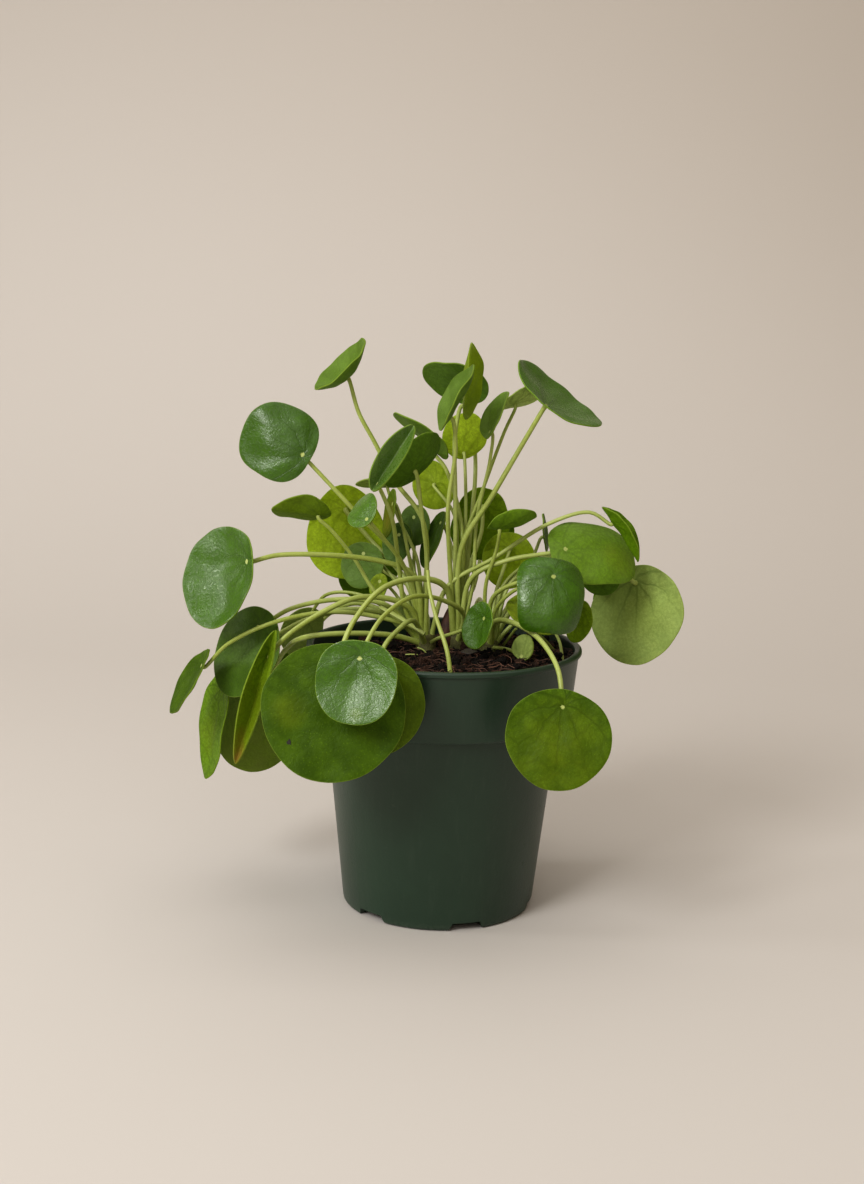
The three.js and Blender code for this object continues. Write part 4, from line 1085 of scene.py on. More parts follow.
def stalk_material():
    """Smooth pale green stalk, deeper green towards the leaf."""
    name = "Stalk skin"
    if name in bpy.data.materials:
        return bpy.data.materials[name]
    stalks = settings().stalks
    root, tip = stalks.root_colour, stalks.tip_colour
    material, nodes, place, mottle = mottled_material(name)
    along = nodes.axes(nodes.add("ShaderNodeUVMap", uv_map="UVMap").outputs["UV"])["Y"]
    skin = nodes.mix(nodes.step(along, 0.05, 0.9), rgba(root), rgba(tip))
    patches = nodes.noise(place, STALK_PATCH_SCALE, detail=1.0, roughness=0.5)
    patches = nodes.step(patches, 0.35, 0.65)
    skin = nodes.tint(skin, patches, 0.5, toned(root, 1.2))
    skin = nodes.tint(skin, mottle["Clouds"], 0.35, toned(tip, 0.7))
    skin = nodes.tint(skin, mottle["Grain"], 0.2, toned(root, 1.25))
    normal = nodes.bump(mottle["Grain"], strength=0.2, distance=0.0002)
    close_material(nodes, skin, roughness=0.36, normal=normal, clear_share=0.22, clear_colour=skin)
    return material


def stem_material():
    """Short woody stem: green brown with darker patches."""
    material, nodes, _, mottle = mottled_material("Stem bark")
    colour = settings().stalks.stem_colour
    skin = nodes.mix(mottle["Clouds"], rgba(colour), rgba(toned(colour, 0.45)))
    skin = nodes.tint(skin, mottle["Grain"], 0.3, toned(colour, 1.8))
    normal = nodes.bump(mottle["Grain"], strength=0.5, distance=0.0005)
    close_material(nodes, skin, roughness=0.7, normal=normal)
    return material


def mix_material(name, shade_name):
    """Potting mix: dark peat and reddish bark, by grain on the ground and by piece on the crumbs."""
    mix = settings().mix
    material, nodes, _, mottle = mottled_material(name)
    shade = mottle["Grain"] if shade_name is None else attribute(nodes, shade_name)
    skin = nodes.mix(nodes.step(shade, 0.25, 1.0), rgba(mix.peat_colour), rgba(mix.bark_colour))
    skin = nodes.tint(skin, mottle["Clouds"], 0.4, toned(mix.peat_colour, 0.8))
    skin = nodes.tint(skin, mottle["Specks"], 0.25, toned(mix.bark_colour, 1.5))
    normal = nodes.bump(mottle["Grain"], strength=1.0, distance=0.0016)
    close_material(nodes, skin, roughness=0.88, normal=normal, shine=0.3)
    return material


def fibre_material():
    """Fine dry roots."""
    material, nodes, _, mottle = mottled_material("Root fibre")
    bark = settings().mix.bark_colour
    skin = nodes.mix(mottle["Clouds"], rgba(toned(bark, 0.5)), rgba(toned(bark, 1.7)))
    close_material(nodes, skin, roughness=0.8)
    return material


def pot_material():
    """Satin moulded plastic: fine streaks and scratches, and pale wear on the foot."""
    pot = settings().pot
    material, nodes, place, mottle = mottled_material("Pot plastic")
    upward = nodes.stretched(place, scale=(1.0, 1.0, 0.12))
    streaks = nodes.noise(upward, POT_STREAK_SCALE, detail=4.0, roughness=0.65)
    slanted = nodes.stretched(place, scale=(0.05, 1.0, 1.0), turn=(0.5, 0.9, 0.3))
    scratches = nodes.noise(slanted, POT_SCRATCH_SCALE, detail=2.0, roughness=0.5)
    rubbed = nodes.times(nodes.step(scratches, 0.66, 0.72), nodes.step(mottle["Clouds"], 0.5, 1.0))
    foot = nodes.step(nodes.axes(place)["Z"], 0.0, FOOT_WEAR_HEIGHT, 0.5, 0.0)
    skin = nodes.tint(rgba(pot.colour), mottle["Clouds"], 0.18, toned(pot.colour, 1.35))
    skin = nodes.mix(nodes.step(streaks, 0.5, 0.8, 0.0, 0.18), skin, rgba(pot.scuff_colour))
    skin = nodes.tint(skin, rubbed, 0.3, pot.scuff_colour)
    skin = nodes.tint(skin, foot, mottle["Grain"], pot.scuff_colour)
    wear = nodes.math("ADD", rubbed, nodes.times(streaks, 0.4))
    roughness = nodes.step(wear, 0.0, 1.0, 0.36, 0.55)
    normal = nodes.bump(mottle["Grain"], strength=0.12, distance=0.0002)
    close_material(nodes, skin, roughness, normal)
    return material


# Pot

def pot_profile(pot):
    """Radius and height, from the underside up the outside, over the lip and down the inside."""
    foot = [
        (BASE_RADIUS - FOOT_ROUNDING * (1 - math.sin(angle)), FOOT_ROUNDING * (1 - math.cos(angle)))
        for angle in (math.pi / 2 * step / FOOT_STEPS for step in range(FOOT_STEPS + 1))
    ]
    inner_rim = pot.rim_radius - 2 * WALL
    lip_foot = pot.height - LIP_HEIGHT
    return foot + [
        (BODY_TOP_RADIUS, STEP_Z),
        (BAND_FOOT_RADIUS - EDGE_ROUNDING, STEP_Z + STEP_SLOPE),
        (BAND_FOOT_RADIUS, BAND_FOOT_Z),
        (BAND_RADIUS, lip_foot - STEP_SLOPE),
        (pot.rim_radius, lip_foot),
        (pot.rim_radius, pot.height - EDGE_ROUNDING),
        (pot.rim_radius - LIP_SLOPE, pot.height),
        (inner_rim + EDGE_ROUNDING, pot.height),
        (inner_rim, pot.height - EDGE_ROUNDING),
        (BAND_FOOT_RADIUS - WALL, STEP_Z + WALL + EDGE_ROUNDING),
        (BODY_TOP_RADIUS - WALL, STEP_Z + WALL - STEP_SLOPE),
        (BASE_RADIUS - WALL, FLOOR),
    ]


def add_notch_cutters():
    """The wedges that the drain notches take out of the foot, as one object."""
    cutters = []
    depth = NOTCH_OUTER_RADIUS - NOTCH_INNER_RADIUS
    height = NOTCH_TOP_Z - NOTCH_LOW_Z
    middle = (0, -(NOTCH_OUTER_RADIUS + NOTCH_INNER_RADIUS) / 2, (NOTCH_TOP_Z + NOTCH_LOW_Z) / 2)
    for index in range(NOTCH_COUNT):
        bpy.ops.object.select_all(action="DESELECT")
        bpy.ops.mesh.primitive_cube_add(size=1, location=middle, scale=(NOTCH_WIDTH, depth, height))
        cutter = bpy.context.object
        bpy.ops.object.transform_apply(location=True, rotation=True, scale=True)
        for vertex in cutter.data.vertices:
            vertex.select = vertex.co.z > 0
        for edge in cutter.data.edges:
            edge.select = all(cutter.data.vertices[v].select for v in edge.vertices)
        for face in cutter.data.polygons:
            face.select = face.normal.z > 0.5
        bpy.ops.object.mode_set(mode="EDIT")
        bpy.ops.transform.resize(value=(NOTCH_TOP_WIDTH / NOTCH_WIDTH, 1, 1), center_override=middle)
        stop_editing()
        angle = math.radians(FIRST_NOTCH + 360 * index / NOTCH_COUNT)
        cutter.data.transform(Matrix.Rotation(angle, 4, "Z"))
        cutters.append(cutter)
    return join_pieces(cutters)


class PILEA_OT_pot(bpy.types.Operator):
    """Models the nursery pot: tapered body, step, rim band, lip and drain notches"""

    bl_idname = "pilea.pot"
    bl_label = "Pot"

    def execute(self, context):
        pot = settings().pot
        profile = pot_profile(pot)
        piece = add_disc(pot.sides, *profile[0])
        start_editing()
        pull_ring(profile)
        stop_editing()
        add_modifier(piece, "Moulded edges", "BEVEL", width=pot.edge_bevel, segments=2,
                     limit_method="ANGLE", angle_limit=math.radians(18))
        cutters = add_notch_cutters()
        add_modifier(piece, "Drain notches", "BOOLEAN", operation="DIFFERENCE", solver="EXACT",
                     object=cutters)
        apply_modifiers(piece)
        bpy.data.objects.remove(cutters)
        finish_piece(piece, "nursery_pot", ["pot"], [pot_material()])
        return {"FINISHED"}


# Potting mix

def inner_radius(z):
    """How far the pot's inside reaches at a height above the step."""
    pot = settings().pot
    low = BAND_FOOT_RADIUS - WALL
    high = pot.rim_radius - 2 * WALL
    foot = STEP_Z + WALL + EDGE_ROUNDING
    return low + (high - low) * (z - foot) / (pot.height - EDGE_ROUNDING - foot)


def mix_height(x, y):
    mix = settings().mix
    edge = inner_radius(MIX_MIDDLE_Z)
    mound = mix.mound * max(0.0, 1 - (x * x + y * y) / edge ** 2)
    lumps = noise.noise(Vector((x, y, 0)) * LUMP_SCALE)
    lumps += FINE_LUMP_SHARE * noise.noise(Vector((x, y, 1)) * FINE_LUMP_SCALE)
    slope = MIX_RISE_TO_RIGHT * x - MIX_RISE_TO_FRONT * y
    return MIX_MIDDLE_Z + slope + mound + mix.roughness * lumps


def near_a_stem(x, y):
    return any(math.hypot(x - stem.x, y - stem.y) < STEM_FOOT_RADIUS for stem in STEMS.values())


def scattered(draw, count):
    """Places spread evenly over the mix, clear of the stems."""
    places = []
    while len(places) < count:
        angle = draw.uniform(0, 2 * math.pi)
        radius = MIX_REACH * math.sqrt(draw.random())
        x, y = radius * math.cos(angle), radius * math.sin(angle)
        if not near_a_stem(x, y):
            places.append((x, y))
    return places


def crumb_shapes():
    """The three shapes that repeat in the mix: a crumb, a flat chip and a clod, as points and faces."""
    shapes = {}
    for name, fineness in (("crumb", 1), ("clod", 2)):
        bpy.ops.object.select_all(action="DESELECT")
        bpy.ops.mesh.primitive_ico_sphere_add(subdivisions=fineness, radius=0.5)
        shapes[name] = bpy.context.object
    bpy.ops.object.select_all(action="DESELECT")
    bpy.ops.mesh.primitive_cube_add(size=1)
    chip = bpy.context.object
    add_modifier(chip, "Worn edges", "BEVEL", width=CHIP_WEAR, segments=1)
    apply_modifiers(chip)
    shapes["chip"] = chip
    read = {}
    for name, piece in shapes.items():
        points = [vertex.co.copy() for vertex in piece.data.vertices]
        faces = [tuple(face.vertices) for face in piece.data.polygons]
        read[name] = (points, faces)
        bpy.data.objects.remove(piece)
    return read


def add_crumbs(name, shape, places, size_range, flatness, draw):
    """Spreads copies of one shape over the mix, each turned, sized, roughened and shaded by itself."""
    points, faces, shades = [], [], []
    shape_points, shape_faces = shape
    for x, y in places:
        size = draw.uniform(*size_range) * draw.uniform(*SIZE_SPREAD)
        width = size * draw.uniform(*WIDTH_SHARE)
        stretch = Vector((size, width, size * flatness * draw.uniform(*HEIGHT_SHARE)))
        tilt = FLAT_TILT if flatness < FLAT_KIND else math.pi
        turn = Euler((draw.uniform(-tilt, tilt), draw.uniform(-tilt, tilt), draw.uniform(0, 2 * math.pi)))
        middle = Vector((x, y, mix_height(x, y) + CRUMB_LIFT * stretch.z))
        start = len(points)
        seed = Vector((draw.random(), draw.random(), draw.random())) * CRUMB_SEED_SPREAD
        shade = draw.random() ** MOSTLY_DARK
        for point in shape_points:
            rough = 1 + CRUMB_UNEVENNESS * noise.noise(point * CRUMB_GRAIN + seed)
            shaped = Vector((point.x * stretch.x, point.y * stretch.y, point.z * stretch.z)) * rough
            shaped.rotate(turn)
            points.append(middle + shaped)
            shades.append(shade)
        faces.extend(tuple(start + index for index in face) for face in shape_faces)
    piece = add_mesh(name, points, faces)
    values = piece.data.attributes.new("shade", "FLOAT", "POINT")
    values.data.foreach_set("value", shades)
    return piece


def fibre_routes(count, draw):
    """Fine roots that lie on the mix and arch a little."""
    routes = []
    for x, y in scattered(draw, count):
        heading = draw.uniform(0, 2 * math.pi)
        bend = draw.uniform(*FIBRE_BEND)
        steps = draw.randint(*FIBRE_STEPS)
        stride = draw.uniform(*FIBRE_STRIDE)
        radius = draw.uniform(*FIBRE_RADIUS)
        arch = draw.uniform(*FIBRE_ARCH)
        route = []
        for step in range(steps):
            if math.hypot(x, y) < MIX_REACH:
                lift = arch * math.sin(math.pi * step / (steps - 1))
                route.append((Vector((x, y, mix_height(x, y) + FIBRE_LIFT + lift)), radius))
            heading += bend + draw.uniform(*FIBRE_WANDER)
            x += stride * math.cos(heading)
            y += stride * math.sin(heading)
        if len(route) > 2:
            routes.append(route)
    return routes


class PILEA_OT_mix(bpy.types.Operator):
    """Models the potting mix: the filled body, crumbs, bark chips, clods and fine roots"""

    bl_idname = "pilea.mix"
    bl_label = "Potting mix"

    def execute(self, context):
        mix = settings().mix
        ledge = STEP_Z + WALL
        edge = inner_radius(MIX_EDGE_Z) - GAP
        profile = [
            (BASE_RADIUS - WALL - GAP, FLOOR + GAP),
            (BODY_TOP_RADIUS - WALL - GAP, ledge),
            (BAND_FOOT_RADIUS - WALL - GAP, ledge + EDGE_ROUNDING + STEP_SLOPE),
            (edge, MIX_EDGE_Z),
        ]
        body = add_disc(MIX_SIDES, *profile[0])
        start_editing()
        pull_ring(profile)
        for _ in range(MIX_RINGS):
            bpy.ops.mesh.inset(thickness=edge / (MIX_RINGS + 1), use_even_offset=True)
        stop_editing()
        body.data.transform(Matrix.Translation(body.location))
        body.location = (0, 0, 0)
        for vertex in body.data.vertices:
            place = vertex.co
            if place.z > MIX_EDGE_Z - GAP:
                if place.xy.length > edge - GAP:
                    place.xy *= (inner_radius(mix_height(place.x, place.y)) - GAP) / place.xy.length
                place.z = mix_height(place.x, place.y)
        finish_piece(body, "potting_mix", ["soil"], [mix_material("Mix ground", None)])

        draw = random.Random(MIX_SEED)
        shapes = crumb_shapes()
        crumb_look = mix_material("Mix crumbs", "shade")
        for name, shape, sizes, flatness in CRUMB_KINDS:
            places = scattered(draw, getattr(mix, f"{shape}s"))
            piece = add_crumbs(name, shapes[shape], places, sizes, flatness, draw)
            finish_piece(piece, name, ["soil"], [crumb_look], smooth_angle=20)
        fibres = add_tubes("root_fibres", fibre_routes(mix.fibres, draw), resolution=0)
        finish_piece(fibres, "root_fibres", ["soil"], [fibre_material()])
        return {"FINISHED"}


# Litter on the mix

def dry_material(name, colour):
    """Dead dry plant skin: streaked brown with darker and paler places."""
    material, nodes, place, mottle = mottled_material(name)
    upward = nodes.stretched(place, scale=(1.0, 1.0, 0.15))
    streaks = nodes.noise(upward, DRY_STREAK_SCALE, detail=3.0, roughness=0.6)
    skin = nodes.mix(nodes.step(streaks, 0.35, 0.65), rgba(toned(colour, 0.6)), rgba(toned(colour, 1.5)))
    skin = nodes.tint(skin, mottle["Clouds"], 0.5, toned(colour, 0.4))
    normal = nodes.bump(streaks, strength=0.6, distance=0.0004)
    close_material(nodes, skin, roughness=0.65, normal=normal)
    return material


def litter_tubes(routes):
    """Tubes through a few places in metres, each with its own radius."""
    tubes = []
    for radius, places in routes:
        smooth = smooth_route([Vector(place) for place in places], STALK_STEP)
        tubes.append([(place, radius) for place in smooth])
    return tubes


def add_uneven_disc(sides, radius, thickness, unevenness, grain):
    """A thin disc with an uneven rim, flat at the origin."""
    disc = add_disc(sides, radius)
    for vertex in disc.data.vertices:
        vertex.co *= 1 + unevenness * noise.noise(vertex.co * grain)
    start_editing()
    bpy.ops.mesh.extrude_region_move(TRANSFORM_OT_translate={"value": (0, 0, thickness)})
    stop_editing()
    return disc


def add_dry_scale():
    """A dead leaf base: a pointed sheet, hollow like a spoon, that stands against the stems."""
    bpy.ops.object.select_all(action="DESELECT")
    bpy.ops.mesh.primitive_grid_add(x_subdivisions=10, y_subdivisions=16, size=1)
    scale = bpy.context.object
    for vertex in scale.data.vertices:
        side = vertex.co.x * 2
        up = vertex.co.y + 0.5
        narrowing = math.sin(math.pi * (SCALE_BLUNTNESS + (1 - SCALE_BLUNTNESS) * up))
        reach = SCALE_WIDTH / 2 * narrowing ** SCALE_ROUNDNESS
        uneven = SCALE_UNEVENNESS * noise.noise(Vector((side, up * 4, 3.0)))
        vertex.co = SCALE_FOOT + Vector((
            side * reach + SCALE_SLANT * up,
            SCALE_HOLLOW * side * side * (1 - up) + SCALE_LEAN * SCALE_HEIGHT * up * up + uneven,
            SCALE_HEIGHT * up,
        ))
    add_modifier(scale, "Thickness", "SOLIDIFY", thickness=SCALE_THICKNESS)
    apply_modifiers(scale)
    return scale


def add_flake():
    """A flat grey flake that lies on the mix."""
    flake = add_uneven_disc(
        sides=14, radius=FLAKE_RADIUS, thickness=FLAKE_THICKNESS, unevenness=0.7, grain=700)
    add_modifier(flake, "Edge", "BEVEL", width=FLAKE_BEVEL)
    apply_modifiers(flake)
    x, y = FLAKE_PLACE
    lie = Matrix.Translation((x, y, mix_height(x, y) + FLAKE_LIFT)) @ FLAKE_TURN.to_matrix().to_4x4()
    flake.data.transform(lie)
    return flake


class PILEA_OT_litter(bpy.types.Operator):
    """Models what lies on the mix: fallen stalks, green shreds, needles, a flake, a dead leaf base"""

    bl_idname = "pilea.litter"
    bl_label = "Litter"

    def execute(self, context):
        green = add_tubes("fallen_stalks", litter_tubes(FALLEN_STALKS), resolution=1)
        finish_piece(green, "fallen_stalks", ["stalks"], [stalk_material()], smooth_angle=60)
        needle = add_tubes("dry_needle", litter_tubes(DRY_NEEDLES), resolution=0)
        needle_skin = dry_material("Dry needle", NEEDLE_COLOUR)
        finish_piece(needle, "dry_needle", ["soil"], [needle_skin])
        scale_skin = dry_material("Dry scale", SCALE_COLOUR)
        finish_piece(add_dry_scale(), "dry_scale", ["soil"], [scale_skin], smooth_angle=60)
        flake_skin = dry_material("Grey flake", FLAKE_COLOUR)
        finish_piece(add_flake(), "grey_flake", ["soil"], [flake_skin])
        return {"FINISHED"}


# Leaves and stalks

def leaf_frame(leaf):
    """The way the upper side faces, the way to the tip, and the way across."""
    turn, rise, tip_angle = (math.radians(angle) for angle in (leaf.turn, leaf.rise, leaf.tip))
    normal = Vector((
        math.sin(turn) * math.cos(rise), -math.cos(turn) * math.cos(rise), math.sin(rise)))
    down_slope = Vector((
        math.sin(turn) * math.sin(rise), -math.cos(turn) * math.sin(rise), -math.cos(rise)))
    right = Vector((math.cos(turn), math.sin(turn), 0))
    tip = down_slope * math.cos(tip_angle) + right * math.sin(tip_angle)
    return normal, tip, tip.cross(normal)


def leaf_seed(leaf):
    """A place far from that of any other leaf, so that each takes its own unevenness from the noise."""
    return Vector(leaf.at) * SEED_SPREAD


def bend(distance, angle, span, creased):
    """Bends a straight length: gives how far it still reaches and how far it lifts."""
    if not angle:
        return distance, 0.0
    if creased:
        slope = math.radians(angle) / 2
        rounded = math.hypot(distance, CREASE_ROUNDING) - CREASE_ROUNDING
        return distance * math.cos(slope), rounded * math.sin(slope)
    curvature = math.radians(angle) / span
    turned_by = curvature * distance
    return math.sin(turned_by) / curvature, (1 - math.cos(turned_by)) / curvature


def blade_point(leaf, axes, x, y, seed):
    """A point of the blade's middle surface, with the slight waves of a living leaf."""
    normal, tip, across = axes
    form = LEAF_FORMS.get(leaf.name, Form())
    sideways, side_lift = bend(x, leaf.fold, leaf.wide, leaf.crease)
    lengthways, end_lift = bend(y, leaf.curl, leaf.long, False)
    outward = math.hypot(x / leaf.wide, y / leaf.long) * 2
    from_middle = math.hypot(x / leaf.wide, y / leaf.long - 0.5 + leaf.off) * 2
    angle = math.atan2(x, y)
    away = math.hypot(x, y)
    rise = min(1.0, away / RIDGE_RISE)
    ripple = leaf.wave * outward ** 2 * math.sin(WAVES * angle)
    ridges = RIDGE_HEIGHT * rise * math.cos(RIDGES * angle * (1 + away * RIDGE_ARCHING) + seed.x)
    swell = SWELL_HEIGHT * rise * noise.noise(Vector((x, y, 0)) * SWELL_SCALE + seed)
    dimple = -DIMPLE_DEPTH * math.exp(-(away / DIMPLE_REACH) ** 2)
    at_stalk = abs(2 * leaf.off - 1)
    rolled = form.droop * (at_stalk ** form.roll - from_middle ** form.roll)
    lift = side_lift + end_lift + ripple + ridges + swell + dimple + rolled
    return Vector(leaf.at) + across * sideways + tip * lengthways + normal * lift


def rim_point(leaf, angle, seed):
    """The blade's outline, slightly egg-shaped and uneven, seen from where the stalk meets it."""
    form = LEAF_FORMS.get(leaf.name, Form())
    sine, cosine = math.sin(angle), math.cos(angle)
    uneven = 1 + RIM_UNEVENNESS * noise.noise(Vector((sine, cosine, 0)) * RIM_GRAIN + seed)
    power = 2 + 2 * form.square
    blunt = (abs(sine) ** power + abs(cosine) ** power) ** (-1 / power) * uneven
    narrow = 1 - form.point * abs(cosine) ** 3
    x = (leaf.wide / 2) * sine * blunt * narrow * (1 - leaf.egg * cosine)
    y = leaf.long * (0.5 - leaf.off) + (leaf.long / 2) * cosine * blunt
    return x, y


def add_leaf_disc(leaves):
    """A flat disc of rings round its middle, which every blade is a copy of."""
    disc = add_disc(leaves.sides, 1 / leaves.rings, fill="TRIFAN")
    start_editing()
    bpy.ops.mesh.region_to_loop()
    for ring in range(1, leaves.rings):
        bpy.ops.mesh.extrude_edges_move()
        scale = (ring + 1) / ring
        bpy.ops.transform.resize(value=(scale, scale, scale), center_override=(0, 0, 0))
    stop_editing()
    return disc


def mark_strength(leaf, kind, x, y):
    strength = 0.0
    for mark in LEAF_MARKS.get(leaf.name, ()):
        if mark.kind == kind:
            away = math.hypot(x - mark.across, y - mark.along) / mark.radius
            strength = max(strength, mark.strength * max(0.0, 1 - away * away))
    return strength


def add_blade(leaf, disc, leaves):
    """Shapes a copy of the disc into one blade, and gives it its thickness and a rounded rim."""
    piece = add_object(leaf.name, disc.data.copy())
    mesh = piece.data
    axes = leaf_frame(leaf)
    seed = leaf_seed(leaf)
    flat, from_rim = [], []
    for vertex in mesh.vertices:
        angle = math.atan2(vertex.co.x, vertex.co.y)
        share = min(1.0, vertex.co.length)
        rim_x, rim_y = rim_point(leaf, angle, seed)
        x, y = rim_x * share, rim_y * share
        flat.append((x, y))
        from_rim.append((1 - share) * math.hypot(rim_x, rim_y))
        vertex.co = blade_point(leaf, axes, x, y, seed)
    layer = mesh.uv_layers[0]
    layer.name = "flat"
    for loop in mesh.loops:
        x, y = flat[loop.vertex_index]
        layer.data[loop.index].uv = (0.5 + x / UV_SPAN, 0.5 + y / UV_SPAN)
    values = {
        "from_rim": from_rim,
        "tone": [LEAF_TONES_AND_PAINTED_LIGHT.get(leaf.name, 0.0)] * len(flat),
        "bloom": [LEAF_PAINTED_SHEEN.get(leaf.name, 0.0)] * len(flat),
        "vein_strength": [LEAF_VEINS.get(leaf.name, USUAL_VEINS)] * len(flat),
        "yellow": [mark_strength(leaf, "yellow", x, y) for x, y in flat],
        "brown": [mark_strength(leaf, "brown", x, y) for x, y in flat],
    }
    for name, numbers in values.items():
        mesh.attributes.new(name, "FLOAT", "POINT").data.foreach_set("value", numbers)
    colour = getattr(leaves, f"{leaf.finish}_colour")
    mesh.materials.append(leaf_material("upper", leaf.finish, UPPER[leaf.finish], colour))
    mesh.materials.append(leaf_material("under", leaf.finish, UNDER[leaf.finish], colour))
    add_modifier(piece, "Thickness", "SOLIDIFY", thickness=leaves.thickness, offset=0,
                 material_offset=1, material_offset_rim=1)
    add_modifier(piece, "Rim", "BEVEL", width=leaves.thickness * RIM_BEVEL_SHARE, segments=2,
                 limit_method="ANGLE", angle_limit=math.radians(50))
    apply_modifiers(piece)
    name, slot = f"blade_{leaf.name}", f"leaf_{leaf.finish}"
    finish_piece(piece, name, [f"leaf_{leaf.name}"], None, smooth_angle=60)


def smooth_route(points, step):
    """Places about a step apart along a curve that passes through the points."""
    first = points[0] * 2 - points[1]
    last = points[-1] * 2 - points[-2]
    padded = [first, *points, last]
    places = []
    for a, b, c, d in zip(padded, padded[1:], padded[2:], padded[3:]):
        before, between, after = ((q - p).length ** 0.5 for p, q in ((a, b), (b, c), (c, d)))
        leave = ((b - a) / before - (c - a) / (before + between) + (c - b) / between) * between
        arrive = ((c - b) / between - (d - b) / (between + after) + (d - c) / after) * between
        count = max(2, round((c - b).length / step))
        for index in range(count):
            t = index / count
            places.append(
                b * (2 * t ** 3 - 3 * t ** 2 + 1) + leave * (t ** 3 - 2 * t ** 2 + t)
                + c * (3 * t ** 2 - 2 * t ** 3) + arrive * (t ** 3 - t ** 2))
    places.append(points[-1].copy())
    return places


def stalk_route(leaf):
    """A stalk's way from inside its stem to the underside of its blade."""
    normal = leaf_frame(leaf)[0]
    stem = STEMS[leaf.stem]
    outward = Vector((leaf.via[0][0] - stem.x, leaf.via[0][1] - stem.y, 0)).normalized() * STALK_SPREAD
    meets = Vector(leaf.at)
    return [
        Vector((stem.x, stem.y, leaf.root)) + outward,
        *(Vector(point) for point in leaf.via),
        meets - normal * (STALK_BELOW_BLADE + leaf.reach * STALK_REACH_SHARE),
        meets - normal * STALK_BELOW_BLADE,
        meets - normal * (STALK_BELOW_BLADE * STALK_END_SHARE),
    ]


def tapered(places, root_radius, tip_radius, swelling):
    """Gives each place its radius: wider at the root, with a small swelling under the blade."""
    last = len(places) - 1
    route = []
    for index, place in enumerate(places):
        share = index / last
        radius = root_radius + (tip_radius - root_radius) * share
        to_end = (places[-1] - place).length
        at_blade = swelling * math.exp(-(to_end / SWELLING_LENGTH) ** 2)
        at_root = ROOT_SWELLING * math.exp(-(share / ROOT_SHARE) ** 2)
        route.append((place, radius * (1 + at_blade + at_root)))
    return route


def add_stem(top):
    """One short stem, ringed by the scars of its fallen leaves, from inside the mix up to its top."""
    stem = add_disc(STEM_SIDES, STEM_FOOT_RADIUS, STEM_FOOT_Z)
    height = top.z - STEM_FOOT_Z
    profile = [(STEM_FOOT_RADIUS, STEM_FOOT_Z)]
    for scar in range(1, SCARS + 1):
        share = scar / SCARS
        radius = STEM_FOOT_RADIUS + (STEM_TOP_RADIUS - STEM_FOOT_RADIUS) * share
        profile.append((radius * SCAR_RIDGE, STEM_FOOT_Z + height * (share - SCAR_LENGTH)))
        profile.append((radius * SCAR_GROOVE, STEM_FOOT_Z + height * share))
    profile.append((STEM_TOP_RADIUS / 2, top.z + STEM_CROWN))
    start_editing()
    pull_ring(profile)
    bpy.ops.mesh.normals_make_consistent(inside=False)
    stop_editing()
    stem.data.transform(Matrix.Translation((top.x, top.y, STEM_FOOT_Z)))
    stem.location = (0, 0, 0)
    return stem


class PILEA_OT_stalks(bpy.types.Operator):
    """Models the short stems, the stalk of every leaf, and the stalk that has lost its leaf"""

    bl_idname = "pilea.stalks"
    bl_label = "Stems and stalks"

    def execute(self, context):
        stalks = settings().stalks
        skin = stalk_material()
        routes = []
        for leaf in LEAVES:
            stout = min(STOUTEST, max(THINNEST, (max(leaf.long, leaf.wide) / USUAL_LEAF) ** 0.5))
            places = smooth_route(stalk_route(leaf), STALK_STEP)
            radii = stalks.root_radius * stout, stalks.tip_radius * stout
            routes.append(tapered(places, *radii, STALK_SWELLING))
        grown = add_tubes("leaf_stalks", routes, resolution=3)
        finish_piece(grown, "leaf_stalks", ["stalks"], [skin], smooth_angle=70)
        places = smooth_route([Vector(point) for point in BARE_STALK], STALK_STEP)
        route = tapered(places, *BARE_STALK_RADII, BARE_STALK_SWELLING)
        bare = add_tubes("stalk_without_leaf", [route], resolution=3)
        finish_piece(bare, "stalk_without_leaf", ["bare_stalk"], [skin], smooth_angle=70)
        stems = join_pieces([add_stem(top) for top in STEMS.values()])
        finish_piece(stems, "stems", ["stalks"], [stem_material()], smooth_angle=50)
        return {"FINISHED"}


def add_scab(leaf, x, y):
    """A small dark scab on the upper side of a blade."""
    scab = add_uneven_disc(
        sides=12, radius=SCAB_RADIUS, thickness=SCAB_THICKNESS, unevenness=0.9, grain=1500)
    axes = leaf_frame(leaf)
    normal = axes[0]
    spot = blade_point(leaf, axes, x, y, leaf_seed(leaf))
    turn = normal.to_track_quat("Z", "Y").to_matrix().to_4x4()
    spot += normal * settings().leaves.thickness * SCAB_LIFT
    scab.data.transform(Matrix.Translation(spot) @ turn)
    skin = dry_material("Leaf scab", SCAB_COLOUR)
    finish_piece(scab, f"speck_{leaf.name}", [f"leaf_{leaf.name}"], [skin])


class PILEA_OT_leaves(bpy.types.Operator):
    """Models every leaf blade as a bent copy of one disc"""

    bl_idname = "pilea.leaves"
    bl_label = "Leaves"

    def execute(self, context):
        leaves = settings().leaves
        disc = add_leaf_disc(leaves)
        for leaf in LEAVES:
            add_blade(leaf, disc, leaves)
            if leaf.name in SCABS:
                add_scab(leaf, *SCABS[leaf.name])
        bpy.data.objects.remove(disc)
        return {"FINISHED"}


# Stage

# The photograph's frame and the camera's focal length in its pixels
IMAGE_HEIGHT = 1184
FOCAL_PIXELS = 1566
SENSOR = 36.0

SWEEP_HALF_WIDTH = 3.2
SWEEP_FRONT = -1.6
SWEEP_BACK = 2.1
SWEEP_TOP = 3.2
SWEEP_ROUNDING = 1.5
SWEEP_EDGE = 0.001

# Where the sweep's colour turns: from the floor to the backdrop, painted lighter, and into painted shade
# towards its upper right
BACKDROP_TURN = (0.3, 1.8)
FAR_SLOPE = 1.6
FAR_TURN = (-0.2, 2.2)

